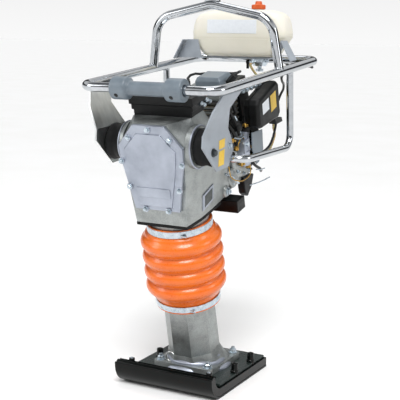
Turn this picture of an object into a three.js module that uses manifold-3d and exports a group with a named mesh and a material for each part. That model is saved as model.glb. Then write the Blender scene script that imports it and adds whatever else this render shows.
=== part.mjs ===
// A petrol soil rammer of the jumping jack type: a spring leg with a bellows, a gear case and
// engine that ride up and down on it, and a tube handle hung on rubber mounts.
// Millimetres, +Z up, front of the machine towards -Y, origin at the middle of the sole.
import * as THREE from "three";
import { ConvexGeometry } from "three/addons/geometries/ConvexGeometry.js";
import { mergeVertices } from "three/addons/utils/BufferGeometryUtils.js";
import Module from "manifold-3d";

const wasm = await Module();
wasm.setup();

// ---- driving dimensions ----
const GAP = 0.3;
const ROUND_GAP = 1; // between round pieces, whose flats would touch at a smaller gap
const LEAN = THREE.MathUtils.degToRad(14.4); // the leg and machine lean forwards by this
const LEAN_FOOT_Y = 29.3; // where the leg's axis meets the ground
const SHOE_WIDTH = 292;
const SHOE_BACK = 174;
const CURL_RADIUS = 58; // outside of the curled front lip
const CURL_Y = -112; // where the sole starts to curl up
const SOLE_THICKNESS = 6;
const SHOE_TOP = 34;
const BODY_TOP = 27;
const LIP_TOP = 64;

const LEG_FLATS = 131; // across flats of the eight-sided leg
const LEG_BORE = 62.5;
const LEG_BOTTOM = 90; // heights from here up are measured along the leaning leg
const LEG_TOP = 258;
const CUFF_LOW = 244;
const CUFF_HIGH = 460;
const CUFF_RADIUS = 84;
const BELLOWS_RADIUS = 108.5;
const FOLD_RADIUS = 92;
const BELLOWS_WALL = 3.5;
const NECK_RADIUS = 76; // of the gear case's mouth, above the bellows
const BULGES = 4;

const GUIDE_RADIUS = 60;
const GUIDE_BORE = 55;
const SPRING_TUBE_RADIUS = 53;
const SPRING_TUBE_BORE = 49;
const SPRING_TUBE_BOTTOM = 84;
const SPRING_TUBE_TOP = 432;
const PISTON_BOTTOM = 252;
const PISTON_TOP = 282;
const ROD_RADIUS = 15;

const CASE_FRONT = -88; // fore-and-aft places are measured square to the leg, back is plus
const CASE_BACK = 131;
const CASE_BOTTOM = 492;
const CASE_TOP = 757;
const MOUNT_V = -30; // centre of the rubber mounts
const MOUNT_U = 686;
const PLATE_X = 148; // inner face of the side plates

const CRANK_U = 665;
const CRANK_RADIUS = 35;
const ROD_LENGTH = 165;
const GEAR_MODULE = 3;
const GEAR_TEETH = 48;
const PINION_TEETH = 12;
const SHAFT_U = CRANK_U - (GEAR_MODULE * (GEAR_TEETH + PINION_TEETH)) / 2;

const TUBE = 12.5; // radius of the handle tube
const GUARD_TUBE = 9.5;
const HALF_HANDLE = 191.3;
const HANDLE_LENGTH = 602.8;
const LOOP_FRONT = -32; // the front bar's place along the handle
const HANDLE_FRONT_Y = -228;
const HANDLE_FRONT_Z = 801.3;
const HANDLE_TILT = THREE.MathUtils.degToRad(6.04); // the rear end is higher
const HOOP_S = 329; // the lifting hoop's place along the handle
const HOOP_TOP = 175.5;
const HOOP_BEND = 62;
const LOOP_BEND = 42;

// ---- finishes ----
const finish = (color, roughness, metalness) => ({ color, roughness, metalness });
const CAST = finish(0x9a9c96, 0.55, 0.8);
const CHROME = finish(0xdfe3e6, 0.12, 1);
const STEEL = finish(0xb9bfc2, 0.35, 1);
const ZINC = finish(0xc3ccd2, 0.3, 1);
const DARK_STEEL = finish(0x33403c, 0.4, 0.6);
const BLACK_PAINT = finish(0x141616, 0.3, 0.2);
const RUBBER = finish(0x17181a, 0.8, 0);
const BELLOWS_RUBBER = finish(0xf06a1e, 0.35, 0);
const GREY_PAINT = finish(0x7c8990, 0.45, 0.1);
const PLATE_PAINT = finish(0xa9adb0, 0.4, 0.2);
const PLASTIC = finish(0x1b1c1c, 0.5, 0);
const TANK_PLASTIC = finish(0xe6e0cd, 0.5, 0);
const CAP_PLASTIC = finish(0xe2641f, 0.45, 0);
const HOSE = finish(0xc9b98a, 0.5, 0);

// ---- solids ----

// The closed solid of a geometry, turned the right way out.
function solidOf(geometry) {
  const bare = geometry.clone();
  bare.deleteAttribute("normal");
  bare.deleteAttribute("uv");
  const merged = mergeVertices(bare, 1e-4);
  const triVerts = new Uint32Array(merged.index.array);
  const vertProperties = merged.attributes.position.array;
  const made = new wasm.Manifold(new wasm.Mesh({ numProp: 3, vertProperties, triVerts }));
  if (made.volume() > 0) return made;
  for (let i = 0; i < triVerts.length; i += 3) {
    [triVerts[i], triVerts[i + 1]] = [triVerts[i + 1], triVerts[i]];
  }
  return new wasm.Manifold(new wasm.Mesh({ numProp: 3, vertProperties, triVerts }));
}

const isSolid = (piece) => piece instanceof wasm.Manifold;
const asSolid = (piece) => (isSolid(piece) ? piece : solidOf(piece));
const joined = (...pieces) => pieces.map(asSolid).reduce((a, b) => a.add(b));
const cut = (piece, ...tools) => tools.map(asSolid).reduce((a, b) => a.subtract(b), asSolid(piece));

function geometryOf(solid) {
  const mesh = solid.getMesh();
  const places = new Float32Array(mesh.numVert * 3);
  for (let i = 0; i < mesh.numVert; i++) {
    const from = i * mesh.numProp;
    places.set(mesh.vertProperties.subarray(from, from + 3), i * 3);
  }
  const geometry = new THREE.BufferGeometry();
  geometry.setAttribute("position", new THREE.BufferAttribute(places, 3));
  geometry.setIndex(new THREE.BufferAttribute(new Uint32Array(mesh.triVerts), 1));
  return geometry;
}

function piece(group, name, look, shape) {
  const geometry = geometryOf(asSolid(shape));
  geometry.computeVertexNormals();
  const mesh = new THREE.Mesh(geometry, new THREE.MeshStandardMaterial(look));
  mesh.name = name;
  group.add(mesh);
  return mesh;
}

// ---- shapes ----
const V3 = (x, y, z) => new THREE.Vector3(x, y, z);

function box(x0, x1, y0, y1, z0, z1) {
  const made = new THREE.BoxGeometry(x1 - x0, y1 - y0, z1 - z0);
  return made.translate((x0 + x1) / 2, (y0 + y1) / 2, (z0 + z1) / 2);
}

// A round bar between two points.
function bar(from, to, radius, sides = 14) {
  const along = to.clone().sub(from);
  const made = new THREE.CylinderGeometry(radius, radius, along.length(), sides);
  const turn = new THREE.Quaternion().setFromUnitVectors(V3(0, 1, 0), along.clone().normalize());
  made.applyQuaternion(turn);
  const middle = from.clone().add(to).multiplyScalar(0.5);
  return made.translate(middle.x, middle.y, middle.z);
}

// A body of revolution about +Z: the profile lists [radius, height] and closes on itself.
function turned(profile, sides = 24) {
  const closed = [...profile, profile[0]].map(([r, h]) => new THREE.Vector2(r, h));
  return new THREE.LatheGeometry(closed, sides).rotateX(Math.PI / 2);
}

const ring = (outer, inner, z0, z1, sides = 24) =>
  turned([[inner, z0], [outer, z0], [outer, z1], [inner, z1]], sides);

const disc = (radius, z0, z1, sides = 24) => bar(V3(0, 0, z0), V3(0, 0, z1), radius, sides);

// An outline in the plane square to an axis, given depth from a to b along that axis.
function slab(outline, axis, a, b) {
  const shape = Array.isArray(outline)
    ? new THREE.Shape(outline.map(([p, q]) => new THREE.Vector2(p, q)))
    : outline;
  const made = new THREE.ExtrudeGeometry(shape, {
    depth: b - a,
    bevelEnabled: false,
    curveSegments: 8,
  });
  if (axis === "z") return made.translate(0, 0, a);
  if (axis === "y") return made.rotateX(Math.PI / 2).translate(0, b, 0);
  const basis = new THREE.Matrix4().makeBasis(V3(0, 1, 0), V3(0, 0, 1), V3(1, 0, 0));
  return made.applyMatrix4(basis).translate(a, 0, 0);
}

const hull = (points) => new ConvexGeometry(points.map(([x, y, z]) => V3(x, y, z)));

// A thick plate through the given points, which lie nearly in one plane.
function plate(points, thickness, normal) {
  const half = V3(...normal).normalize().multiplyScalar(thickness / 2).toArray();
  const side = (sign) => points.map((p) => p.map((value, i) => value + sign * half[i]));
  return hull([...side(1), ...side(-1)]);
}

function circlePoints(radius, cx, cy, z, sides) {
  return Array.from({ length: sides }, (_, i) => {
    const angle = (2 * Math.PI * (i + 0.5)) / sides;
    return [cx + radius * Math.cos(angle), cy + radius * Math.sin(angle), z];
  });
}

// A path of straight runs and round bends. Even steps of t fall on the ends of each run
// and on a few places in each bend.
class BentPath extends THREE.Curve {
  constructor(corners, radius, perBend = 4) {
    super();
    this.stations = [];
    const points = corners.map((c) => V3(...c));
    points.forEach((point, i) => {
      if (i === 0 || i === points.length - 1) {
        const other = i === 0 ? points[1] : points[i - 1];
        const way = i === 0 ? other.clone().sub(point) : point.clone().sub(other);
        this.stations.push([point, way.normalize()]);
        return;
      }
      this.addBend(points[i - 1], point, points[i + 1], radius, perBend);
    });
  }

  addBend(before, corner, after, radius, perBend) {
    const wayIn = corner.clone().sub(before).normalize();
    const wayOut = after.clone().sub(corner).normalize();
    const bend = wayIn.angleTo(wayOut);
    const start = corner.clone().addScaledVector(wayIn, -radius * Math.tan(bend / 2));
    const inward = wayOut.clone().addScaledVector(wayIn, -wayIn.dot(wayOut)).normalize();
    for (let k = 0; k <= perBend; k++) {
      const angle = (bend * k) / perBend;
      const place = start.clone().addScaledVector(wayIn, radius * Math.sin(angle));
      place.addScaledVector(inward, radius * (1 - Math.cos(angle)));
      const way = wayIn.clone().multiplyScalar(Math.cos(angle));
      this.stations.push([place, way.addScaledVector(inward, Math.sin(angle))]);
    }
  }

  at(t, which) {
    const last = this.stations.length - 1;
    const place = Math.min(Math.max(t, 0), 1) * last;
    const i = Math.min(Math.floor(place + 1e-9), last);
    const next = Math.min(i + 1, last);
    return this.stations[i][which].clone().lerp(this.stations[next][which], Math.max(place - i, 0));
  }

  getPoint(t) {
    return this.at(t, 0);
  }

  getPointAt(t) {
    return this.at(t, 0);
  }

  getTangent(t) {
    return this.at(t, 1).normalize();
  }

  getTangentAt(t) {
    return this.getTangent(t);
  }

  get steps() {
    return this.stations.length - 1;
  }
}

function roundShape(radius, sides) {
  return new THREE.Shape(circlePoints(radius, 0, 0, 0, sides).map(([x, y]) => new THREE.Vector2(x, y)));
}

function tube(corners, bendRadius, radius, sides = 12, perBend = 4) {
  const path = new BentPath(corners, bendRadius, perBend);
  return new THREE.ExtrudeGeometry(roundShape(radius, sides), {
    steps: path.steps,
    extrudePath: path,
    bevelEnabled: false,
  });
}

// A hose or cable through points chosen by hand.
function hose(points, radius, steps, sides = 8) {
  const path = new THREE.CatmullRomCurve3(points.map((p) => V3(...p)), false, "centripetal");
  return new THREE.ExtrudeGeometry(roundShape(radius, sides), {
    steps,
    extrudePath: path,
    bevelEnabled: false,
  });
}

class Helix extends THREE.Curve {
  constructor(radius, bottom, top, turns) {
    super();
    Object.assign(this, { radius, bottom, top, turns });
  }

  getPoint(t) {
    const angle = 2 * Math.PI * this.turns * t;
    const height = this.bottom + (this.top - this.bottom) * t;
    return V3(this.radius * Math.cos(angle), this.radius * Math.sin(angle), height);
  }
}

function coilSpring(radius, wire, bottom, top, turns) {
  return new THREE.ExtrudeGeometry(roundShape(wire, 5), {
    steps: turns * 8,
    extrudePath: new Helix(radius, bottom + wire, top - wire, turns),
    bevelEnabled: false,
  });
}

// A spur gear's outline, with a tooth or a gap pointing up.
function gearOutline(teeth, toothUp) {
  const pitch = (GEAR_MODULE * teeth) / 2;
  const step = (2 * Math.PI) / teeth;
  const corners = [
    [pitch - 1.2 * GEAR_MODULE, -0.3],
    [pitch + 0.85 * GEAR_MODULE, -0.13],
    [pitch + 0.85 * GEAR_MODULE, 0.13],
    [pitch - 1.2 * GEAR_MODULE, 0.3],
  ];
  const first = Math.PI / 2 + (toothUp ? 0 : step / 2);
  const points = [];
  for (let i = 0; i < teeth; i++) {
    for (const [radius, share] of corners) {
      const angle = first + (i + share) * step;
      points.push([radius * Math.cos(angle), radius * Math.sin(angle)]);
    }
  }
  return points;
}

// ---- frames ----
const machine = new THREE.Group();
const leaning = new THREE.Group();
leaning.position.y = LEAN_FOOT_Y;
leaning.rotation.x = LEAN;
const handle = new THREE.Group();
handle.position.set(0, HANDLE_FRONT_Y, HANDLE_FRONT_Z);
handle.rotation.x = HANDLE_TILT;
const upright = new THREE.Group();
machine.add(leaning, handle, upright);

// ---- foot ----
function curl(points, cy, cz, radius, from, to, count = 8) {
  for (let k = 0; k <= count; k++) {
    const angle = THREE.MathUtils.degToRad(from + ((to - from) * k) / count);
    points.push([cy + radius * Math.cos(angle), cz + radius * Math.sin(angle)]);
  }
}

function addShoe() {
  const half = SHOE_WIDTH / 2;
  const sole = [[SHOE_BACK, 0]];
  curl(sole, CURL_Y, CURL_RADIUS, CURL_RADIUS, 270, 180);
  sole.push([CURL_Y - CURL_RADIUS, LIP_TOP]);
  sole.push([CURL_Y - CURL_RADIUS + SOLE_THICKNESS, LIP_TOP]);
  curl(sole, CURL_Y, CURL_RADIUS, CURL_RADIUS - SOLE_THICKNESS, 180, 270);
  sole.push([SHOE_BACK, SOLE_THICKNESS]);
  piece(upright, "wear_sole", BLACK_PAINT, slab(sole, "x", -half, half));

  const inside = CURL_RADIUS - SOLE_THICKNESS - GAP;
  const lipRadius = 9;
  const rampRadius = CURL_RADIUS + 1 - BODY_TOP;
  const lipY = CURL_Y - inside + lipRadius;
  const body = [[SHOE_BACK, SOLE_THICKNESS + GAP]];
  curl(body, CURL_Y, CURL_RADIUS, inside, 270, 180);
  curl(body, lipY, CURL_RADIUS + 1, lipRadius, 180, 0, 6);
  curl(body, lipY + lipRadius + rampRadius, CURL_RADIUS + 1, rampRadius, 165, 270, 6);
  body.push([SHOE_BACK, BODY_TOP]);
  piece(upright, "shoe_body", BLACK_PAINT, slab(body, "x", -half + 1, half - 1));

  const top = box(-half + 7, half - 7, -108, SHOE_BACK - 4, BODY_TOP + GAP, SHOE_TOP);
  piece(upright, "shoe_top_plate", DARK_STEEL, top);
}

const leanMatrix = new THREE.Matrix4()
  .makeTranslation(0, LEAN_FOOT_Y, 0)
  .multiply(new THREE.Matrix4().makeRotationX(LEAN));
const FLANGE_Z = SHOE_TOP + GAP;
const FLANGE_THICKNESS = 15;
const BOLT_X = 72;
const BOLT_YS = [-50, 105];

function legSection(u, flats = LEG_FLATS) {
  return circlePoints(flats / 2 / Math.cos(Math.PI / 8), 0, 0, u, 8);
}

function addLeg() {
  const leg = joined(
    hull([...legSection(LEG_BOTTOM - 40), ...legSection(LEG_TOP - 26, LEG_FLATS - 3)]),
    disc(CUFF_RADIUS - BELLOWS_WALL - ROUND_GAP, LEG_TOP - 27, LEG_TOP),
    hull([...circlePoints(92, 0, 4, 34, 16), ...legSection(LEG_BOTTOM)]),
  );
  const bore = disc(LEG_BORE, SPRING_TUBE_BOTTOM - 6, LEG_TOP + 10);
  const leaned = geometryOf(cut(leg, bore)).applyMatrix4(leanMatrix);
  const corners = BOLT_YS.flatMap((y) => [[BOLT_X, y], [-BOLT_X, y]]);
  const flangeZ = FLANGE_Z + FLANGE_THICKNESS;
  const flange = corners.flatMap(([x, y]) => [
    ...circlePoints(19, x, y, FLANGE_Z, 12),
    ...circlePoints(18, x, y, flangeZ, 12),
  ]);
  const floor = box(-200, 200, -300, 300, -100, FLANGE_Z);
  piece(upright, "leg_casting", CAST, cut(joined(leaned, hull(flange)), floor));
  corners.forEach(([x, y], i) => {
    const bolt = hull([
      ...circlePoints(9.5, x, y, flangeZ + GAP, 6),
      ...circlePoints(9.5, x, y, flangeZ + 10, 6),
    ]);
    const stud = bar(V3(x, y, flangeZ + 9), V3(x, y, flangeZ + 15), 5, 10);
    piece(upright, `leg_bolt_${i + 1}`, ZINC, joined(bolt, stud));
  });
}

function addSpringUnit() {
  const tubeBottom = SPRING_TUBE_BOTTOM - 5.7;
  const cylinder = joined(
    ring(SPRING_TUBE_RADIUS, SPRING_TUBE_BORE, tubeBottom, SPRING_TUBE_TOP),
    disc(SPRING_TUBE_RADIUS, tubeBottom, SPRING_TUBE_BOTTOM),
    ring(SPRING_TUBE_RADIUS, ROD_RADIUS + 1, SPRING_TUBE_TOP - 8, SPRING_TUBE_TOP),
  );
  piece(leaning, "spring_cylinder", STEEL, cylinder);
  piece(leaning, "ram_piston", STEEL, disc(SPRING_TUBE_BORE - 1, PISTON_BOTTOM, PISTON_TOP));
  const low = SPRING_TUBE_BOTTOM + GAP;
  const lowerSpring = coilSpring(38, 6, low, PISTON_BOTTOM - GAP, 6);
  piece(leaning, "lower_spring", STEEL, lowerSpring);
  const head = SPRING_TUBE_TOP - 8 - GAP;
  const upperSpring = coilSpring(38, 6, PISTON_TOP + GAP, head, 5);
  piece(leaning, "upper_spring", STEEL, upperSpring);

  const smallEnd = CRANK_U + CRANK_RADIUS - ROD_LENGTH;
  const rod = bar(V3(0, 0, PISTON_TOP + GAP), V3(0, 0, smallEnd - 22), ROD_RADIUS, 20);
  const fork = cut(
    hull([
      ...circlePoints(ROD_RADIUS, 0, 0, smallEnd - 30, 16),
      ...[-20, 20].flatMap((v) => [-17, 17].flatMap((x) => [[x, v, smallEnd - 5], [x, v, smallEnd]])),
      ...[-20, 20].flatMap((v) => [[-10, v, smallEnd + 15], [10, v, smallEnd + 15]]),
    ]),
    box(-40, 40, -11.5, 11.5, smallEnd - 20, smallEnd + 40),
  );
  const pin = bar(V3(0, -14, smallEnd), V3(0, 14, smallEnd), 8, 16);
  piece(leaning, "piston_rod", STEEL, joined(rod, fork, pin));

  const bigEnd = smallEnd + ROD_LENGTH;
  const conRod = cut(
    joined(
      bar(V3(0, -10.5, smallEnd), V3(0, 10.5, smallEnd), 15, 20),
      bar(V3(0, -11, bigEnd), V3(0, 11, bigEnd), 25, 24),
      hull([
        ...[-7, 7].flatMap((v) => [[-11, v, smallEnd + 9], [11, v, smallEnd + 9]]),
        ...[-7, 7].flatMap((v) => [[-15, v, bigEnd - 18], [15, v, bigEnd - 18]]),
      ]),
    ),
    bar(V3(0, -20, smallEnd), V3(0, 20, smallEnd), 8.4, 16),
    bar(V3(0, -20, bigEnd), V3(0, 20, bigEnd), 14, 20),
  );
  piece(leaning, "connecting_rod", STEEL, conRod);
}

function addBellows() {
  const outer = [];
  const bottom = CUFF_LOW - 12;
  const top = CUFF_HIGH + 11;
  const waveBottom = CUFF_LOW + 28;
  const waveTop = CUFF_HIGH - 21;
  outer.push([CUFF_RADIUS, bottom], [CUFF_RADIUS, CUFF_LOW + 12]);
  const pitch = (waveTop - waveBottom) / BULGES;
  for (let i = 0; i < BULGES; i++) {
    for (const share of [0.1, 0.36, 0.64, 0.9]) {
      const swell = Math.sin(Math.PI * share) ** 0.6;
      outer.push([FOLD_RADIUS + (BELLOWS_RADIUS - FOLD_RADIUS) * swell, waveBottom + pitch * (i + share)]);
    }
  }
  outer.push([CUFF_RADIUS, CUFF_HIGH - 11], [CUFF_RADIUS, top]);
  const inner = outer.map(([r, h]) => [r - BELLOWS_WALL, h]).reverse();
  piece(leaning, "bellows", BELLOWS_RUBBER, turned([...outer, ...inner]));
  const clamps = [["lower_clamp", CUFF_LOW, 8], ["upper_clamp", CUFF_HIGH, 9]];
  for (const [name, u, half] of clamps) {
    const band = ring(CUFF_RADIUS + 4, CUFF_RADIUS + GAP, u - half, u + half);
    const screw = bar(V3(46.5, -77.5, u - 3), V3(58.5, -69, u - 3), 4, 8);
    piece(leaning, name, ZINC, joined(band, screw));
  }
}

// ---- gear case ----
const octagonFront = (v) => [
  [-45, v, CASE_TOP], [45, v, CASE_TOP], [91, v, 702], [88, v, 664],
  [73, v, 540], [73, v, CASE_BOTTOM], [-73, v, CASE_BOTTOM], [-73, v, 540],
  [-88, v, 664], [-91, v, 702],
];
const middleSection = (v) => [
  [-82, v, CASE_TOP], [82, v, CASE_TOP], [100, v, 727], [100, v, 640],
  [82, v, CASE_BOTTOM], [-82, v, CASE_BOTTOM], [-100, v, 640], [-100, v, 727],
];
const CLUTCH_BAY = 64;

function gearCaseCavities() {
  const mouth = [[38, 742], [76, 698], [72, 655], [54, 556]];
  const front = hull([
    ...mouth.flatMap(([x, u]) => [[-x, CASE_FRONT - 5, u], [x, CASE_FRONT - 5, u]]),
    ...middleSection(36).map(([x, v, u]) => [x * 0.84, v, 625 + (u - 625) * 0.9]),
  ]);
  const bay = bar(V3(0, 54, SHAFT_U), V3(0, CASE_BACK + 5, SHAFT_U), CLUTCH_BAY, 28);
  const throat = disc(GUIDE_BORE + 2, 400, 575, 28);
  const crankSeat = bar(V3(0, 30, CRANK_U), V3(0, 70, CRANK_U), 24, 24);
  const pinionSeat = bar(V3(0, 30, SHAFT_U), V3(0, 70, SHAFT_U), 20, 24);
  return [front, bay, throat, crankSeat, pinionSeat];
}

function addGearCase() {
  const bosses = [-1, 1].map((side) => {
    const wide = circlePoints(57, MOUNT_U, MOUNT_V, 0, 20).map(([u, v]) => [side * 88, v, u]);
    const rim = circlePoints(53, MOUNT_U, MOUNT_V, 0, 20).map(([u, v]) => [side * 104, v, u]);
    return hull([...wide, ...rim]);
  });
  const rear = hull([
    ...middleSection(40).map(([x, v, u]) => [x, v, u]),
    ...[-1, 1].flatMap((side) => [
      [side * 50, CASE_BACK, 680],
      [side * 86, CASE_BACK, 610],
      [side * 86, CASE_BACK, 500],
    ]),
  ]);
  const spigot = joined(
    disc(CUFF_RADIUS - BELLOWS_WALL - ROUND_GAP, CUFF_HIGH - 11, CUFF_HIGH + 20),
    disc(NECK_RADIUS, CUFF_HIGH + 19, CASE_BOTTOM + 5),
  );
  const shell = joined(
    hull([...octagonFront(CASE_FRONT), ...middleSection(-25)]),
    hull([...middleSection(-26), ...middleSection(41)]),
    rear,
    ...bosses,
    spigot,
  );
  piece(leaning, "gear_case", CAST, cut(shell, ...gearCaseCavities()));

  const face = octagonFront(0).map(([x, , u]) => [x, u]);
  face[4] = [64, 534];
  face[5] = [-64, 534];
  const rim = [...face.slice(0, 6), ...face.slice(8)];
  const pad = [[-34, 736], [34, 736], [73, 694], [68, 650], [45, 546], [-45, 546], [-68, 650], [-73, 694]];
  const cover = joined(
    slab(rim, "y", CASE_FRONT - 11, CASE_FRONT - GAP),
    slab(pad, "y", CASE_FRONT - 15, CASE_FRONT - 10),
  );
  piece(leaning, "front_cover", CAST, cover);

  const low = CASE_BOTTOM - 9;
  const gasket = hull([
    ...[[-74, CASE_FRONT], [74, CASE_FRONT], [82, -25], [82, 86], [-82, 86], [-82, -25]].flatMap(
      ([x, v]) => [[x, v, low], [x, v, CASE_BOTTOM - GAP]],
    ),
  ]);
  const hole = disc(NECK_RADIUS + 2, low - 5, CASE_BOTTOM + 5, 36);
  piece(leaning, "base_gasket", RUBBER, cut(gasket, hole));
}

function addGuide() {
  const collar = 449;
  const guide = joined(
    ring(GUIDE_RADIUS, GUIDE_BORE, 150, collar),
    ring(GUIDE_RADIUS + 14, GUIDE_BORE, collar - 10, collar - GAP),
  );
  piece(leaning, "guide_cylinder", STEEL, guide);
}

// ---- drive ----
function alongV(shape, v, u) {
  return shape.rotateX(-Math.PI / 2).translate(0, v, u);
}

function addDrive() {
  const wheel = joined(
    slab(gearOutline(GEAR_TEETH, true), "y", 16, 32).translate(0, 0, CRANK_U),
    bar(V3(0, 31, CRANK_U), V3(0, 50, CRANK_U), 12, 20),
    bar(V3(0, 12.5, CRANK_U + CRANK_RADIUS), V3(0, 17, CRANK_U + CRANK_RADIUS), 12, 20),
  );
  piece(leaning, "crank_gear", STEEL, wheel);
  const pinion = joined(
    slab(gearOutline(PINION_TEETH, false), "y", 12, 36).translate(0, 0, SHAFT_U),
    bar(V3(0, 35, SHAFT_U), V3(0, 66, SHAFT_U), 9, 16),
    alongV(ring(58, 53, 0, 38, 28), 64, SHAFT_U),
    bar(V3(0, 60, SHAFT_U), V3(0, 66, SHAFT_U), 58, 28),
  );
  piece(leaning, "clutch_drum", STEEL, pinion);
  const races = [["crank_bearing", 12, 24, CRANK_U], ["pinion_bearing", 9, 20, SHAFT_U]];
  for (const [name, inner, outer, u] of races) {
    const race = ring(outer - GAP, inner + GAP, 0, 12, 24);
    piece(leaning, name, STEEL, alongV(race, 40, u));
  }
}

// ---- engine ----
const FIN_COUNT = 7;
const FAN_BLADES = 8;

function addEngineBlock() {
  const fins = [];
  for (let i = 0; i < FIN_COUNT; i++) {
    const u = 652 + i * 13;
    fins.push(box(-50, 70, 168, 262, u, u + 5));
  }
  const neck = circlePoints(CLUTCH_BAY + 8, 0, SHAFT_U, 0, 20);
  const block = joined(
    hull([
      ...neck.map(([x, u]) => [x, CASE_BACK + GAP, u]),
      ...neck.map(([x, u]) => [x * 1.05, 150, SHAFT_U + (u - SHAFT_U) * 1.05]),
    ]),
    box(-78, 78, 146, 290, 500, 646),
    box(-34, 54, 182, 248, 640, 752),
    ...fins,
    box(-42, 62, 172, 256, 742, 768),
  );
  const tunnel = bar(V3(0, 100, SHAFT_U), V3(0, 320, SHAFT_U), 19, 20);
  piece(leaning, "engine_block", CAST, cut(block, tunnel));
  piece(leaning, "rocker_cover", GREY_PAINT, rockerCover());
}

function rockerCover() {
  const low = [[-8, 174], [66, 174], [66, 246], [-8, 246]];
  return hull([
    ...low.map(([x, v]) => [x, v, 768 + GAP]),
    ...low.map(([x, v]) => [x, v, 790]),
    ...low.map(([x, v]) => [29 + (x - 29) * 0.86, 210 + (v - 210) * 0.86, 800]),
  ]);
}

function addFanEnd() {
  const shaft = joined(
    bar(V3(0, 68.5, SHAFT_U), V3(0, 330, SHAFT_U), 12, 16),
    bar(V3(0, 72, SHAFT_U), V3(0, 98, SHAFT_U), 46, 24),
    bar(V3(0, 300, SHAFT_U), V3(0, 312, SHAFT_U), 76, 28),
    ...Array.from({ length: FAN_BLADES }, (_, i) => fanBlade((2 * Math.PI * i) / FAN_BLADES)),
  );
  piece(leaning, "crankshaft_fan", STEEL, shaft);

  const outside = circlePoints(98, 0, SHAFT_U, 0, 24);
  const shroud = cut(
    joined(
      hull([
        ...outside.map(([x, u]) => [x, 292, u]),
        ...outside.map(([x, u]) => [x, 330, u]),
        ...outside.map(([x, u]) => [x * 0.9, 340, SHAFT_U + (u - SHAFT_U) * 0.9]),
      ]),
      hull([
        ...[-56, 76].flatMap((x) => [
          [x, 268, 650],
          [x, 330, 650],
          [x * 0.9, 268, 768],
          [x * 0.9, 320, 768],
        ]),
      ]),
    ),
    bar(V3(0, 280, SHAFT_U), V3(0, 334, SHAFT_U), 88, 24),
    bar(V3(0, 300, SHAFT_U), V3(0, 350, SHAFT_U), 60, 24),
    box(-48, 66, 260, 312, 600, 756),
  );
  piece(leaning, "fan_shroud", PLASTIC, shroud);
}

function fanBlade(angle) {
  const blade = box(-2, 2, 311, 328, 40, 74);
  const centre = V3(0, 320, 0);
  blade.translate(-centre.x, -centre.y, 0);
  blade.rotateY(angle);
  return blade.translate(centre.x, centre.y, SHAFT_U);
}

function addStarter() {
  const outer = circlePoints(78, 0, SHAFT_U, 0, 24);
  const housing = cut(
    hull([
      ...outer.map(([x, u]) => [x, 340 + GAP, u]),
      ...outer.map(([x, u]) => [x, 366, u]),
      ...outer.map(([x, u]) => [x * 0.72, 378, SHAFT_U + (u - SHAFT_U) * 0.72]),
    ]),
    bar(V3(0, 336, SHAFT_U), V3(0, 368, SHAFT_U), 66, 24),
    bar(V3(0, 355, SHAFT_U), V3(-30, 355, SHAFT_U + 104), 5, 10),
  );
  piece(leaning, "recoil_housing", PLASTIC, housing);
  const pulley = joined(
    bar(V3(0, 344, SHAFT_U), V3(0, 347, SHAFT_U), 58, 24),
    bar(V3(0, 346, SHAFT_U), V3(0, 361, SHAFT_U), 42, 24),
    bar(V3(0, 360, SHAFT_U), V3(0, 363, SHAFT_U), 58, 24),
  );
  piece(leaning, "starter_pulley", PLASTIC, pulley);
  const way = V3(-30, 0, 104).normalize();
  const at = (distance) => V3(0, 355, SHAFT_U).addScaledVector(way, distance);
  const across = V3(104, 0, 30).normalize();
  const grip = joined(
    bar(at(80), at(92), 7, 12),
    bar(at(90).addScaledVector(across, -34), at(90).addScaledVector(across, 34), 8.5, 14),
  );
  piece(leaning, "starter_grip", PLASTIC, grip);
}

function addMuffler() {
  const can = hull(
    [-146, -86].flatMap((x) =>
      [[190, 622], [182, 634], [182, 726], [190, 738], [282, 738], [290, 726], [290, 634], [282, 622]].map(
        ([v, u]) => [x, v, u],
      ),
    ),
  );
  const pipe = bar(V3(-88, 222, 700), V3(-51, 222, 700), 15, 14);
  const outlet = bar(V3(-118, 288, 650), V3(-118, 312, 642), 10, 12);
  piece(leaning, "muffler", STEEL, joined(can, pipe, outlet));
  const guard = cut(
    joined(box(-156, -149, 176, 296, 616, 744), box(-156, -92, 176, 296, 741, 745)),
    ...Array.from({ length: 5 }, (_, i) => box(-160, -145, 192 + i * 20, 200 + i * 20, 636, 726)),
  );
  piece(leaning, "muffler_guard", ZINC, guard);
}

function addInlet() {
  const body = joined(
    box(84, 112, 192, 226, 588, 622),
    bar(V3(98, 209, 552), V3(98, 209, 590), 18, 18),
    bar(V3(79, 209, 605), V3(86, 209, 605), 14, 14),
    bar(V3(94, 219, 596), V3(94, 237, 633), 12, 12),
  );
  piece(leaning, "carburettor", CAST, body);
  const lever = joined(
    bar(V3(112 + GAP, 209, 610), V3(117, 209, 610), 6, 12),
    hull([[114, 205, 608], [117, 205, 608], [114, 205, 612], [117, 205, 612],
      [114, 178, 626], [117, 178, 626], [114, 176, 622], [117, 176, 622]]),
  );
  piece(leaning, "choke_lever", ZINC, lever);

  const cornered = (x, grow) =>
    [[247, 641], [237, 651], [237, 708], [247, 721], [368, 742], [380, 732], [380, 648], [368, 637]].map(
      ([v, u]) => [x, 308 + (v - 308) * grow, 688 + (u - 688) * grow],
    );
  const caseBox = joined(
    hull([...cornered(97, 0.95), ...cornered(108.7, 0.98)]),
    bar(V3(94, 237.4, 633.8), V3(94, 256, 672), 12, 12),
  );
  piece(leaning, "air_cleaner_case", PLASTIC, caseBox);
  const cover = hull([...cornered(109, 1), ...cornered(134, 1), ...cornered(141, 0.93)]);
  piece(leaning, "air_cleaner_cover", PLASTIC, cover);
}

const PLUG_LEAD = [
  [94, 206, 800], [99, 222, 805], [92, 246, 799], [62, 270, 787], [18, 274, 785],
  [-16, 262, 787], [-27, 238, 791], [-34, 218, 797], [-42, 203, 793], [-37, 190, 790], [-29, 181, 785],
  [-28, 178, 769],
];

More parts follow.
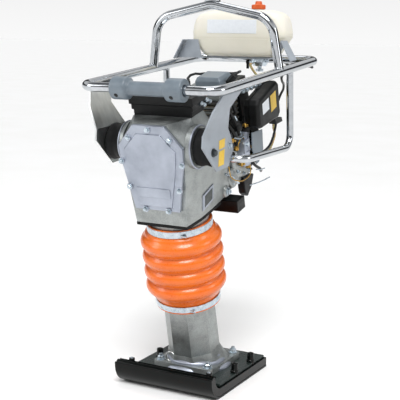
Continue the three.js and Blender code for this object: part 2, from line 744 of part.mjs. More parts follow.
function addEngineTrim() {
  const support = joined(
    box(-112, 112, 120, 166, 445, 479),
    box(-60, 60, 120, 290, 482, 496),
    box(-50, 50, 124, 160, 478, 484),
  );
  piece(leaning, "engine_support", PLASTIC, support);
  const baffle = joined(
    box(-82, 84, -22, 44, CASE_TOP + GAP, 772),
    box(-88, 87, -22, 46, 771, 786),
    box(-93, 90, -24, 48, 785, 806),
  );
  piece(leaning, "air_baffle", PLASTIC, baffle);
  const lead = joined(
    hose(PLUG_LEAD, 3.5, 16),
    bar(V3(74, 206, 779), V3(96, 206, 801), 9, 12),
  );
  piece(leaning, "plug_lead", RUBBER, lead);
}

function addMounts() {
  for (const [name, side] of [["left_mount", -1], ["right_mount", 1]]) {
    const profile = [[104 + GAP, 46], [112, 49], [126, 44], [140, 49], [PLATE_X - GAP, 46]];
    const points = profile.flatMap(([x, radius]) =>
      circlePoints(radius, MOUNT_U, MOUNT_V, 0, 24).map(([u, v]) => [side * x, v, u]),
    );
    const half = points.length / 5;
    const block = joined(
      ...[0, 1, 2, 3].map((i) => hull(points.slice(i * half, (i + 2) * half))),
    );
    piece(leaning, name, RUBBER, block);
  }
}

// ---- handle ----
function addHandleTubes() {
  const half = (side) => [
    [-side, LOOP_FRONT, 0],
    [side * HALF_HANDLE, LOOP_FRONT, 0],
    [side * HALF_HANDLE, HANDLE_LENGTH, 0],
    [-side, HANDLE_LENGTH, 0],
  ];
  const loop = joined(tube(half(1), LOOP_BEND, TUBE, 12, 4), tube(half(-1), LOOP_BEND, TUBE, 12, 4));
  piece(handle, "handle_loop", CHROME, loop);

  const hoop = [
    [-HALF_HANDLE, HOOP_S, TUBE + GAP],
    [-170.6, HOOP_S, 139.2],
    [0, HOOP_S, HOOP_TOP],
    [170.6, HOOP_S, 139.2],
    [HALF_HANDLE, HOOP_S, TUBE + GAP],
  ];
  piece(handle, "lifting_hoop", CHROME, tube(hoop, HOOP_BEND, TUBE));
  const top = HOOP_TOP + TUBE + 26;
  const outline = [[-24, HOOP_TOP], [24, HOOP_TOP], [16, top], [-16, top]];
  const eye = slab(outline, "y", HOOP_S - 4, HOOP_S + 4);
  const hole = bar(V3(0, HOOP_S - 9, top - 14), V3(0, HOOP_S + 9, top - 14), 8, 16);
  piece(handle, "lifting_eye", CHROME, cut(eye, hole, tube(hoop, HOOP_BEND, TUBE + GAP)));

  for (const [name, side] of [["left_guard", -1], ["right_guard", 1]]) {
    const run = tube(
      [
        [side * (PLATE_X + 4 + GAP), 112, -190],
        [side * HALF_HANDLE, 112, -190],
        [side * HALF_HANDLE, 396, -214],
        [side * HALF_HANDLE, 399, -TUBE - GAP],
      ],
      36, GUARD_TUBE, 10, 4,
    );
    piece(handle, name, CHROME, run);
  }
}

const toLean = (v, u, x) => {
  const place = V3(x, v, u).applyMatrix4(leanMatrix);
  return [place.x, place.y, place.z];
};

function addSidePlates() {
  const lower = [[-98, 740], [-107, 712], [-50, 632], [15, 622], [50, 656], [44, 690], [32, 718]];
  for (const [name, side] of [["left_side_plate", -1], ["right_side_plate", 1]]) {
    const x0 = side > 0 ? PLATE_X : -PLATE_X - 4;
    const flat = slab(lower, "x", x0, x0 + 4).applyMatrix4(leanMatrix);
    const top = (y) => HANDLE_FRONT_Z + (y - HANDLE_FRONT_Y) * Math.tan(HANDLE_TILT) - TUBE - 1.5;
    const frontLow = toLean(-98, 738, side * (PLATE_X + 2));
    const backLow = toLean(32, 716, side * (PLATE_X + 2));
    const waist = [side * 171, -152, 755];
    const frontWaist = [side * 173, -245.5, 748];
    const normal = [side * 0.93, 0, -0.37];
    const leanIn = joined(
      plate([frontLow, backLow, waist, frontWaist], 4, normal),
      plate([frontWaist, waist, [side * 189, -124, top(-124)], [side * 187, -222, top(-222)]], 4, normal),
    );
    piece(upright, name, PLATE_PAINT, joined(flat, leanIn));
  }
}

// ---- tank ----
const TANK_Z = 872;
const CAP_X = 42;
const CAP_Y = 284;
const CAP_Z = 1004.4;

function addTank() {
  const side = (sign) => [
    [sign * 108, 232, TANK_Z], [sign * 113, 240, TANK_Z], [sign * 113, 312, TANK_Z],
    [sign * 139, 229, 921], [sign * 139, 320, 921],
  ];
  const wings = (sign) => [
    [sign * 132, 230, 921], [sign * 145, 244, 921], [sign * 145, 304, 921], [sign * 128, 322, 921],
    [sign * 126, 230, 975], [sign * 138, 244, 975], [sign * 138, 304, 975], [sign * 122, 320, 975],
    [sign * 108, 234, 992], [sign * 118, 246, 994], [sign * 118, 300, 994], [sign * 104, 316, 990],
    [sign * 70, 246, 1003], [sign * 70, 306, 1003],
  ];
  const tank = joined(
    hull([...side(-1), ...side(1)]),
    hull([...wings(-1), ...wings(1)]),
  );
  const filler = bar(V3(CAP_X, CAP_Y, 1000), V3(CAP_X, CAP_Y, CAP_Z - GAP), 17, 16);
  piece(upright, "fuel_tank", TANK_PLASTIC, joined(tank, filler));
  const cap = joined(
    bar(V3(CAP_X, CAP_Y, CAP_Z), V3(CAP_X, CAP_Y, CAP_Z + 13), 20, 20),
    hull([
      ...circlePoints(10, CAP_X, CAP_Y, CAP_Z + 12, 8),
      ...circlePoints(8, CAP_X, CAP_Y, CAP_Z + 23, 8),
    ]),
  );
  piece(upright, "fuel_cap", CAP_PLASTIC, cap);
}

function addCradle() {
  const base = joined(box(-122, 122, 242, 300, 866, 870), box(-122, -100, 222, 246, 866, 870));
  const arm = (side, top, front) =>
    plate(
      [
        [side * top, 203, 917], [side * top, 245, 917],
        [side * 187, front, 863], [side * 187, front + 42, 866],
      ],
      3, [side * 0.8, 0, 0.6],
    );
  const rightReturn = plate(
    [[118, 236, 868], [118, 245, 868], [149, 203, 917], [149, 245, 917]],
    3, [0.85, 0, -0.5],
  );
  const leftReturn = slab([[-187, 865], [-150, 918], [-118, 918], [-106, 867]], "y", 222, 225);
  const arms = joined(arm(1, 148, 182), rightReturn, arm(-1, 157, 202), leftReturn);
  piece(upright, "tank_cradle", PLATE_PAINT, joined(base, arms));
}

function addFuelCock() {
  const cx = 60;
  const cy = 262;
  const cock = joined(
    hull([...circlePoints(26, cx, cy, 857, 10), ...circlePoints(26, cx, cy, 866 - GAP, 10)]),
    hull([...circlePoints(18, cx, cy, 846, 12), ...circlePoints(25, cx, cy, 858, 12)]),
    bar(V3(cx, cy, 836), V3(cx, cy, 848), 6, 12),
    bar(V3(cx, cy, 831), V3(cx, cy, 838), 11, 12),
    bar(V3(cx - 30, cy, 857), V3(cx - 15, cy, 857), 7, 10),
    bar(V3(cx - 14, cy - 22, 856), V3(cx - 8, cy - 5, 856), 5, 10),
  );
  piece(upright, "fuel_cock", GREY_PAINT, cock);
  const lever = joined(
    bar(V3(cx - 40, cy, 857), V3(cx - 30 - GAP, cy, 857), 7, 12),
    hull([[cx - 40, cy - 4, 855], [cx - 34, cy - 4, 855], [cx - 40, cy + 4, 855], [cx - 34, cy + 4, 855],
      [cx - 40, cy - 3, 838], [cx - 34, cy - 3, 838], [cx - 40, cy + 3, 838], [cx - 34, cy + 3, 838]]),
  );
  piece(upright, "cock_lever", PLASTIC, lever);
}

// ---- controls ----
const THROTTLE_X = 10; // on the rear bar, behind the tank

function addThrottle() {
  const x = THROTTLE_X;
  const seat = cut(
    box(x - 13, x + 13, HANDLE_LENGTH - 9, HANDLE_LENGTH + 9, 4, 30),
    bar(V3(x - 30, HANDLE_LENGTH, 0), V3(x + 30, HANDLE_LENGTH, 0), TUBE + GAP, 20),
  );
  piece(handle, "throttle_bracket", PLASTIC, seat);
  const lever = joined(
    bar(V3(x, HANDLE_LENGTH, 30 + GAP), V3(x, HANDLE_LENGTH, 38), 9, 14),
    hull([-4, 4].flatMap((ds) => [
      [x + 3, HANDLE_LENGTH + ds, 32], [x + 3, HANDLE_LENGTH + ds, 37],
      [x + 42, HANDLE_LENGTH + ds, 36], [x + 42, HANDLE_LENGTH + ds, 40],
    ])),
    new THREE.SphereGeometry(8, 12, 8).translate(x + 45, HANDLE_LENGTH, 39),
  );
  piece(handle, "throttle_lever", PLASTIC, lever);
}

function addRoller() {
  const bore = TUBE + 0.6;
  const profile = [
    [bore, -90], [25, -90], [28.5, -86], [28.5, -50], [25, -46], [17, -44],
    [17, 58], [25, 60], [28.5, 64], [28.5, 103], [25, 107], [bore, 107],
  ];
  const roller = turned(profile, 22).rotateY(Math.PI / 2).translate(0, LOOP_FRONT, 0);
  piece(handle, "loading_roller", GREY_PAINT, roller);
}

// Routes of the hose and the cable, in the leaning frame.
const FUEL_HOSE = [
  [45, 411, 777], [46, 409, 766], [62, 414, 738], [92, 424, 706], [104, 424, 660], [102, 416, 620],
  [98, 415, 590], [98, 420, 566], [98, 400, 546], [106, 352, 541], [107, 300, 552], [104, 244, 566],
  [100, 229, 568],
];
const THROTTLE_CABLE = [
  [27, 553, 772], [42, 561, 767], [60, 566, 753], [84, 560, 738], [108, 546, 733],
  [145, 545, 733], [170, 538, 735], [184, 521, 738], [176, 491, 752], [174, 444, 763], [173, 400, 768],
  [169, 366, 766], [163, 352, 757], [157, 366, 741], [150, 390, 725], [142, 403, 706], [131, 405, 688],
  [121, 399, 660], [117, 394, 630], [116, 388, 596], [116, 340, 560], [114, 270, 562], [106, 240, 584],
  [104, 227, 588],
];

function addHoses() {
  const fuel = hose(FUEL_HOSE, 3.5, 28);
  piece(leaning, "fuel_hose", HOSE, fuel);
  const cable = hose(THROTTLE_CABLE, 3.5, 60);
  piece(leaning, "throttle_cable", RUBBER, cable);
}

addShoe();
addLeg();
addSpringUnit();
addBellows();
addGearCase();
addGuide();
addDrive();
addEngineBlock();
addFanEnd();
addStarter();
addMuffler();
addInlet();
addEngineTrim();
addMounts();
addHandleTubes();
addSidePlates();
addTank();
addCradle();
addFuelCock();
addThrottle();
addRoller();
addHoses();

export default machine;
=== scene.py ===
"""Tamping rammer: finishes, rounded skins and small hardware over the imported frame.

Sizes are in millimetres. Three places are used: the ground's own axes, the leg's leaning axes
(x, back, up) and the handle's axes (x, along, above). Each is turned to metres by its matrix.
"""

import math

import bmesh
import bpy
from mathutils import Matrix, Vector


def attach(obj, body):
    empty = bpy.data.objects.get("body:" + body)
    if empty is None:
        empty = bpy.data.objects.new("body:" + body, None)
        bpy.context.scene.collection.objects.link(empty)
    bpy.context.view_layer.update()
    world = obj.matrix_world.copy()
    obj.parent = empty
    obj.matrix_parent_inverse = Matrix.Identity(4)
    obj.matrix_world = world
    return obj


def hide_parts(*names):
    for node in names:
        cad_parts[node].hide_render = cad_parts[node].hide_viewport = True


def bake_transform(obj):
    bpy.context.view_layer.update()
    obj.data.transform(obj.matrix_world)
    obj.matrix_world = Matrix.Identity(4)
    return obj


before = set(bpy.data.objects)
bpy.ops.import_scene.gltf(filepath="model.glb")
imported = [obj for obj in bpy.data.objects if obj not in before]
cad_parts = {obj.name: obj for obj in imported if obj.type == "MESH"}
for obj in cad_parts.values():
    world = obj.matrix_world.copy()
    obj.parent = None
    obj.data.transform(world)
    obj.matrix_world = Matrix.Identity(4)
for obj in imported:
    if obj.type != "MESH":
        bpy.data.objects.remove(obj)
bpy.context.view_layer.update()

MM = Matrix.Scale(0.001, 4)
LEAN_ANGLE = math.radians(14.4)
GROUND = MM
LEANING = MM @ Matrix.Translation((0, 29.3, 0)) @ Matrix.Rotation(LEAN_ANGLE, 4, "X")
HANDLE = MM @ Matrix.Translation((0, -228, 801.3)) @ Matrix.Rotation(math.radians(6.04), 4, "X")


# ---- nodes ----
def colour(code, alpha=1.0):
    """An sRGB hex colour, as the linear values that a shader takes."""
    parts = [int(code[i : i + 2], 16) / 255 for i in (0, 2, 4)]
    return [p / 12.92 if p <= 0.04045 else ((p + 0.055) / 1.055) ** 2.4 for p in parts] + [alpha]


def add(tree, kind, settings=None, inputs=None):
    """A node with its settings, and its inputs given as values or as other nodes' sockets."""
    made = tree.nodes.new(kind)
    for name, value in (settings or {}).items():
        setattr(made, name, value)
    for key, value in (inputs or {}).items():
        if isinstance(value, bpy.types.NodeSocket):
            tree.links.new(value, made.inputs[key])
        else:
            made.inputs[key].default_value = value
    return made


def set_stops(ramp, *stops):
    """A colour ramp's (position, hex) stops."""
    elements = ramp.color_ramp.elements
    while len(elements) < len(stops):
        elements.new(0.5)
    for element, (position, code) in zip(elements, stops):
        element.position = position
        element.color = colour(code)


# ---- finishes ----
def surface(name, sockets, patterns):
    """A bare material, its shader and its patterns: noise of (grain in mm, detail, roughness, stretch)."""
    made = bpy.data.materials.new(name)
    made.use_nodes = True
    tree = made.node_tree
    tree.nodes.clear()
    shader = add(tree, "ShaderNodeBsdfPrincipled", inputs=sockets)
    add(tree, "ShaderNodeOutputMaterial", inputs={"Surface": shader.outputs[0]})
    found = {"place": add(tree, "ShaderNodeTexCoord").outputs["Object"]}
    for pattern, (grain, detail, rough, *stretch) in patterns.items():
        place = found["place"]
        if stretch:
            place = add(tree, "ShaderNodeMapping", inputs={"Vector": place, "Scale": stretch}).outputs[0]
        inputs = {"Vector": place, "Scale": 1000 / grain, "Detail": detail, "Roughness": rough}
        found[pattern] = add(tree, "ShaderNodeTexNoise", inputs=inputs).outputs["Fac"]
    return made, tree, shader, found


def coat(tree, shader, found, shade, dull=None, bumps=()):
    """Colour, gloss and relief read from the patterns. The colour is returned for a second coat.

    shade is (pattern, stops...), dull is (pattern, least, most, from, to), and each of the bumps is
    (pattern, depth in mm, strength), over the one before it.
    """
    ramp = add(tree, "ShaderNodeValToRGB", inputs={"Fac": found[shade[0]]})
    set_stops(ramp, *shade[1:])
    tree.links.new(ramp.outputs["Color"], shader.inputs["Base Color"])
    if dull:
        pattern, least, most, start, end = (*dull, 0.3, 0.7)[:5]
        inputs = {"Value": found[pattern], "From Min": start, "From Max": end, "To Min": least, "To Max": most}
        spread = add(tree, "ShaderNodeMapRange", {"interpolation_type": "SMOOTHSTEP"}, inputs)
        tree.links.new(spread.outputs["Result"], shader.inputs["Roughness"])
    for pattern, depth, strength in bumps:
        inputs = {"Height": found[pattern], "Distance": depth / 1000, "Strength": strength}
        earlier = shader.inputs["Normal"].links
        if earlier:
            inputs["Normal"] = earlier[0].from_socket
        bump = add(tree, "ShaderNodeBump", inputs=inputs)
        tree.links.new(bump.outputs["Normal"], shader.inputs["Normal"])
    return ramp.outputs["Color"]


def finish(name, sockets, patterns, shade, dull, bumps):
    """A material with one coat."""
    made, tree, shader, found = surface(name, sockets, patterns)
    coat(tree, shader, found, shade, dull, bumps)
    return made


def sand_cast_aluminium():
    """Sand-cast aluminium: a matt, grainy grey skin with darker stains where oil has dried."""
    patterns = {"stain": (45, 5, 0.6), "grain": (1.6, 2, 0.6), "dents": (9, 2, 0.55)}
    sockets = {"Metallic": 0.88, "Roughness": 0.42}
    made, tree, shader, found = surface("sand_cast_aluminium", sockets, patterns)
    shade = ("stain", (0.25, "8b8f8e"), (0.5, "a9adac"), (0.75, "bfc3c3"))
    base = coat(tree, shader, found, shade, ("stain", 0.34, 0.5), [("dents", 0.5, 0.5), ("grain", 0.22, 0.7)])
    speck = add(tree, "ShaderNodeValToRGB", inputs={"Fac": found["grain"]})
    set_stops(speck, (0.32, "a0a2a0"), (0.6, "ffffff"))
    settings = {"data_type": "RGBA", "blend_type": "MULTIPLY"}
    mixed = add(tree, "ShaderNodeMix", settings, {0: 0.55, 6: base, 7: speck.outputs["Color"]})
    tree.links.new(mixed.outputs[2], shader.inputs["Base Color"])
    return made


def tank_polyethylene():
    """Blow-moulded polyethylene: ivory and milky, a shade darker where the fuel stands behind it."""
    sockets = {"Roughness": 0.42, "IOR": 1.5, "Subsurface Weight": 0.18, "Subsurface Scale": 0.02}
    sockets["Subsurface Radius"] = (1.0, 0.85, 0.6)
    patterns = {"cloud": (80, 4, 0.55), "skin": (3.5, 2, 0.55)}
    made, tree, shader, found = surface("tank_polyethylene", sockets, patterns)
    shade = ("cloud", (0.3, "e0dccf"), (0.7, "e8e4d9"))
    dry = coat(tree, shader, found, shade, ("cloud", 0.36, 0.5), [("skin", 0.1, 0.4)])
    wet = add(tree, "ShaderNodeValToRGB", inputs={"Fac": found["cloud"]})
    set_stops(wet, (0.3, "dedaca"), (0.7, "e5e1d3"))
    height = add(tree, "ShaderNodeSeparateXYZ", inputs={"Vector": found["place"]}).outputs["Z"]
    level = {"Value": height, "From Min": 0.935, "From Max": 0.955}
    above = add(tree, "ShaderNodeMapRange", {"interpolation_type": "SMOOTHSTEP"}, level).outputs["Result"]
    mixed = add(tree, "ShaderNodeMix", {"data_type": "RGBA"}, {0: above, 6: wet.outputs["Color"], 7: dry})
    tree.links.new(mixed.outputs[2], shader.inputs["Base Color"])
    return made


def black_gloss_paint():
    """Stoved black gloss on steel: scuffed grey near the ground, where it meets grit."""
    sockets = {"Roughness": 0.22, "IOR": 1.46, "Specular IOR Level": 0.22}
    made, tree, shader, found = surface("black_gloss_paint", sockets, {"scuff": (7, 6, 0.72, 0.25, 1, 1)})
    height = add(tree, "ShaderNodeSeparateXYZ", inputs={"Vector": found["place"]}).outputs["Z"]
    ground = {"Value": height, "From Min": 0.002, "From Max": 0.014, "To Min": 0.95, "To Max": 0.2}
    near = add(tree, "ShaderNodeMapRange", {"interpolation_type": "SMOOTHSTEP"}, ground).outputs["Result"]
    worn = add(tree, "ShaderNodeMath", {"operation": "MULTIPLY"}, {0: found["scuff"], 1: near})
    found["worn"] = worn.outputs[0]
    shade = ("worn", (0.4, "040706"), (0.55, "0c1413"), (0.68, "2c3634"))
    coat(tree, shader, found, shade, ("worn", 0.14, 0.45, 0.35, 0.65), [("scuff", 0.1, 0.3)])
    return made


def black_abs():
    """Moulded ABS in black: spark-eroded texture that scatters the highlights."""
    sockets = {"Roughness": 0.36, "IOR": 1.46, "Specular IOR Level": 0.3}
    made, tree, shader, found = surface("black_abs", sockets, {"cloud": (30, 4, 0.55)})
    pebble_mm = 1.1
    cells = {"Vector": found["place"], "Scale": 1000 / pebble_mm}
    found["pebbles"] = add(tree, "ShaderNodeTexVoronoi", {"feature": "SMOOTH_F1"}, cells).outputs["Distance"]
    shade = ("cloud", (0.3, "050606"), (0.7, "0d0e0f"))
    coat(tree, shader, found, shade, ("cloud", 0.34, 0.52), [("pebbles", 0.08, 0.5)])
    return made


def label_film(name, dark, light):
    """Printed vinyl film, left blank: satin, with a slightly uneven coat of ink."""
    shade = ("ink", (0.3, dark), (0.7, light))
    sockets = {"Roughness": 0.34, "IOR": 1.5}
    return finish(name, sockets, {"ink": (8, 3, 0.55)}, shade, ("ink", 0.34, 0.4), [("ink", 0.01, 0.1)])


CAST = sand_cast_aluminium()
# Die-cast and bead-blasted aluminium: paler, bluer and finer than the case behind it.
COVER = finish(
    "die_cast_aluminium",
    {"Metallic": 0.75, "Roughness": 0.4},
    {"cloud": (60, 4, 0.55), "grain": (0.9, 2, 0.55)},
    ("cloud", (0.3, "969ca8"), (0.5, "a6acb8"), (0.7, "b4bac6")),
    ("cloud", 0.32, 0.46),
    [("grain", 0.12, 0.6)],
)
# Chromium plate on bent tube: mirror bright, with faint wiping marks that dull it in places.
CHROME = finish(
    "chrome_plate",
    {"Metallic": 1.0, "Roughness": 0.08},
    {"wiping": (14, 4, 0.7, 1, 0.12, 1)},
    ("wiping", (0.3, "b2b6ba"), (0.7, "c9ccd0")),
    ("wiping", 0.05, 0.16, 0.4, 0.8),
    [("wiping", 0.03, 0.3)],
)
# Bright zinc plate: bluish, with a fine rolled grain and cloudy patches.
ZINC = finish(
    "zinc_plate",
    {"Metallic": 0.95, "Roughness": 0.3},
    {"cloud": (12, 3, 0.55), "grain": (0.8, 2, 0.55)},
    ("cloud", (0.3, "a9b6c0"), (0.7, "d3dde4")),
    ("cloud", 0.22, 0.4),
    [("grain", 0.05, 0.5)],
)
# Moulded thermoplastic rubber: deep glossy orange, dusted paler in patches.
BELLOWS = finish(
    "bellows_rubber",
    {"Roughness": 0.3, "IOR": 1.5, "Coat Weight": 0.4, "Coat Roughness": 0.1},
    {"cloud": (50, 4, 0.55), "film": (5, 5, 0.7), "skin": (2.5, 3, 0.55)},
    ("cloud", (0.3, "dd6106"), (0.7, "ec7212")),
    ("film", 0.24, 0.42),
    [("skin", 0.08, 0.35)],
)
# Moulded natural rubber: near black, matt, with a bloom of paler dust.
RUBBER = finish(
    "mould_black_rubber",
    {"Roughness": 0.6, "IOR": 1.46, "Specular IOR Level": 0.25},
    {"bloom": (16, 5, 0.65), "skin": (1.2, 2, 0.55)},
    ("bloom", (0.35, "050606"), (0.75, "161718")),
    ("bloom", 0.5, 0.75),
    [("skin", 0.12, 0.5)],
)
# Sprayed enamel in blue-grey: a soft sheen over the slight peel that spraying leaves.
GREY = finish(
    "grey_enamel",
    {"Roughness": 0.36, "IOR": 1.5, "Coat Weight": 0.2},
    {"cloud": (35, 3, 0.55), "peel": (2.4, 1, 0.55)},
    ("cloud", (0.3, "66717a"), (0.7, "747f88")),
    ("cloud", 0.3, 0.46),
    [("peel", 0.06, 0.5)],
)
# Light grey powder coat on pressed plate: even, satin, finely pebbled.
PLATE = finish(
    "plate_powder_coat",
    {"Roughness": 0.42, "IOR": 1.5},
    {"cloud": (40, 3, 0.55), "pebbles": (1.1, 2, 0.55)},
    ("cloud", (0.3, "8d949c"), (0.7, "9da4ac")),
    ("cloud", 0.36, 0.5),
    [("pebbles", 0.05, 0.6)],
)
# Polished stainless plate: a soft mirror with a faint grind along it.
STAINLESS = finish(
    "polished_stainless",
    {"Metallic": 1.0, "Roughness": 0.2},
    {"grind": (20, 2, 0.5, 1, 1, 0.3)},
    ("grind", (0.3, "c6c9c8"), (0.7, "dfe1e0")),
    ("grind", 0.28, 0.36),
    [("grind", 0.01, 0.3)],
)
TANK = tank_polyethylene()
# Moulded polypropylene in orange: satin with a fine mould texture.
CAP = finish(
    "orange_polypropylene",
    {"Roughness": 0.42, "IOR": 1.49},
    {"cloud": (14, 3, 0.55), "mould": (0.9, 2, 0.55)},
    ("cloud", (0.3, "c4521a"), (0.7, "d6662e")),
    ("cloud", 0.36, 0.5),
    [("mould", 0.05, 0.5)],
)
ABS = black_abs()
GLOSS_BLACK = black_gloss_paint()
# Dark green-grey paint on plate: semi-gloss, thinly dusted.
DARK_PLATE = finish(
    "dark_plate_paint",
    {"Metallic": 0.1, "Roughness": 0.28, "IOR": 1.5},
    {"dust": (22, 5, 0.65), "skin": (3, 2, 0.55)},
    ("dust", (0.3, "1b2524"), (0.6, "27312f"), (0.8, "3f4846")),
    ("dust", 0.22, 0.5),
    [("skin", 0.06, 0.4)],
)
# Satin black paint on rough castings: its bumps break up the highlights.
ENGINE_BLACK = finish(
    "engine_paint_black",
    {"Roughness": 0.38, "IOR": 1.46, "Specular IOR Level": 0.3},
    {"cloud": (18, 4, 0.55), "casting": (1.8, 2, 0.55)},
    ("cloud", (0.3, "060707"), (0.7, "101212")),
    ("cloud", 0.3, 0.52),
    [("casting", 0.15, 0.5)],
)
# Muffler steel: blued and straw-tinted where it runs hottest.
MUFFLER_STEEL = finish(
    "heat_tinted_steel",
    {"Metallic": 0.9, "Roughness": 0.42},
    {"tint": (55, 4, 0.55), "scale": (1.6, 3, 0.55)},
    ("tint", (0.25, "5b5f66"), (0.45, "857f76"), (0.6, "9a8a6c"), (0.8, "6f7480")),
    ("tint", 0.34, 0.55),
    [("scale", 0.08, 0.5)],
)
# Ground and turned steel: fine rings round the axis, thinly oiled.
STEEL = finish(
    "ground_steel",
    {"Metallic": 1.0, "Roughness": 0.26},
    {"rings": (1.5, 2, 0.5, 0.15, 0.15, 1)},
    ("rings", (0.3, "9fa4a7"), (0.7, "bcc1c4")),
    ("rings", 0.2, 0.34),
    [("rings", 0.03, 0.5)],
)
# Shot-peened spring steel: dark, with a dimpled oily skin.
SPRING = finish(
    "spring_steel",
    {"Metallic": 0.9, "Roughness": 0.4},
    {"dimples": (1.4, 2, 0.55)},
    ("dimples", (0.3, "43474a"), (0.7, "62676a")),
    ("dimples", 0.32, 0.5),
    [("dimples", 0.1, 0.5)],
)
# Turned brass, yellow-passivated: warm and slightly tarnished.
BRASS = finish(
    "brass_fitting",
    {"Metallic": 1.0, "Roughness": 0.32},
    {"tarnish": (6, 4, 0.55)},
    ("tarnish", (0.3, "a27a35"), (0.7, "d2ab5c")),
    ("tarnish", 0.26, 0.44),
    [("tarnish", 0.04, 0.4)],
)
# Yellowed vinyl fuel hose: glossy and a little see-through.
VINYL = finish(
    "fuel_hose_vinyl",
    {"Roughness": 0.25, "IOR": 1.5, "Subsurface Weight": 0.3, "Subsurface Scale": 0.004},
    {"cloud": (10, 3, 0.55)},
    ("cloud", (0.3, "b39c62"), (0.7, "cdb987")),
    ("cloud", 0.2, 0.34),
    [("cloud", 0.05, 0.3)],
)
# Extruded vinyl sheath in black, faintly ridged by the wire wound under it.
SHEATH = finish(
    "cable_sheath",
    {"Roughness": 0.4, "IOR": 1.46},
    {"ridges": (2.0, 1, 0.5)},
    ("ridges", (0.3, "0e0f0f"), (0.7, "1c1e1e")),
    ("ridges", 0.34, 0.5),
    [("ridges", 0.1, 0.4)],
)
# Braided nylon starter cord: off-white, with the small ridges of its plait.
NYLON = finish(
    "braided_nylon",
    {"Roughness": 0.6, "IOR": 1.53},
    {"plait": (1.6, 2, 0.6)},
    ("plait", (0.35, "a9a79c"), (0.65, "dad8ce")),
    ("plait", 0.5, 0.7),
    [("plait", 0.2, 0.6)],
)
YELLOW_LABEL = label_film("yellow_label_film", "dfb732", "e8c142")
WHITE_LABEL = label_film("white_label_film", "dde1e6", "e4e8ec")
# Painted studio floor: pale and matt, faintly mottled.
FLOOR = finish(
    "studio_floor",
    {"Roughness": 0.75, "IOR": 1.4},
    {"mottle": (600, 3, 0.55)},
    ("mottle", (0.3, "fbfbfa"), (0.7, "ffffff")),
    None,
    [],
)


# ---- mesh shapes ----
def piece(name, mesh, finish, body, replaced=(), smooth=30):
    """A finished piece: its mesh is in metres in the row frame, and it rides on a body."""
    made = bpy.data.objects.new(name, mesh)
    bpy.context.scene.collection.objects.link(made)
    mesh.materials.clear()
    mesh.materials.append(finish)
    if smooth:
        mesh.polygons.foreach_set("use_smooth", [True] * len(mesh.polygons))
        mesh.set_sharp_from_angle(angle=math.radians(smooth))
    if body:
        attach(made, body)
    if replaced:
        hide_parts(*replaced)
    return made


def mesh_of(build, place):
    """A mesh from a bmesh in millimetres, put in the row frame with its faces outwards."""
    bmesh.ops.remove_doubles(build, verts=build.verts, dist=0.001)
    bmesh.ops.transform(build, matrix=place, verts=build.verts)
    bmesh.ops.recalc_face_normals(build, faces=build.faces)
    mesh = bpy.data.meshes.new("shape")
    build.to_mesh(mesh)
    build.free()
    return mesh


def joined(*builds):
    """Several bmeshes as one."""
    whole = bmesh.new()
    for build in builds:
        part = bpy.data.meshes.new("part")
        build.to_mesh(part)
        whole.from_mesh(part)
        bpy.data.meshes.remove(part)
        build.free()
    return whole


def loft(rings, loop=False):
    """A skin over rings of points that all have the same count."""
    build = bmesh.new()
    rows = [[build.verts.new(p) for p in ring] for ring in rings]
    count = len(rows[0])
    pairs = list(zip(rows, rows[1:]))
    if loop:
        pairs.append((rows[-1], rows[0]))
    for low, high in pairs:
        for i in range(count):
            j = (i + 1) % count
            build.faces.new((low[i], low[j], high[j], high[i]))
    if not loop:
        build.faces.new(rows[0][::-1])
        build.faces.new(rows[-1])
    return build


def turned(profile, axis="Z", at=(0, 0, 0), sides=64, loop=False):
    """A profile of (radius, height) points turned about an axis through a point."""
    quarter = math.pi / 2
    turns = {"Z": Matrix.Identity(3), "X": Matrix.Rotation(quarter, 3, "Y")}
    turns["Y"] = Matrix.Rotation(-quarter, 3, "X")
    angles = [2 * math.pi * i / sides for i in range(sides)]
    rings = [
        [Vector(at) + turns[axis] @ Vector((r * math.cos(a), r * math.sin(a), height)) for a in angles]
        for r, height in profile
    ]
    return loft(rings, loop=loop)


def rounded(profile, radius, steps=4):
    """An open profile with its corners replaced by arcs."""
    made = [Vector(profile[0])]
    for before, corner, after in zip(profile, profile[1:], profile[2:]):
        corner = Vector(corner)
        back = (Vector(before) - corner).normalized()
        on = (Vector(after) - corner).normalized()
        reach = min(radius, (Vector(before) - corner).length * 0.49, (Vector(after) - corner).length * 0.49)
        start, end = corner + back * reach, corner + on * reach
        for k in range(steps + 1):
            t = k / steps
            made.append(start * (1 - t) ** 2 + corner * 2 * t * (1 - t) + end * t**2)
    made.append(Vector(profile[-1]))
    return made


def bent_path(corners, bend, steps=8):
    """Straight runs joined by arcs of one bend radius, as a tube bender makes them."""
    points = [Vector(corners[0])]
    for before, corner, after in zip(corners, corners[1:], corners[2:]):
        corner = Vector(corner)
        back = (Vector(before) - corner).normalized()
        on = (Vector(after) - corner).normalized()
        half = back.angle(on) / 2
        reach = bend / math.tan(half)
        inward = (back + on).normalized()
        centre = corner + inward * (bend / math.sin(half))
        start, end = corner + back * reach - centre, corner + on * reach - centre
        sweep = start.angle(end)
        across = start.cross(end).normalized()
        for k in range(steps + 1):
            points.append(centre + Matrix.Rotation(sweep * k / steps, 3, across) @ start)
    points.append(Vector(corners[-1]))
    return points


def smooth_path(points, steps=8):
    """A Catmull-Rom curve through points."""
    points = [Vector(p) for p in points]
    ends = [points[0] * 2 - points[1], *points, points[-1] * 2 - points[-2]]
    made = []
    for a, b, c, d in zip(ends, ends[1:], ends[2:], ends[3:]):
        for k in range(steps):
            t = k / steps
            made.append(
                0.5 * (2 * b + (c - a) * t + (2 * a - 5 * b + 4 * c - d) * t**2 + (3 * b - a - 3 * c + d) * t**3)
            )
    made.append(points[-1])
    return made


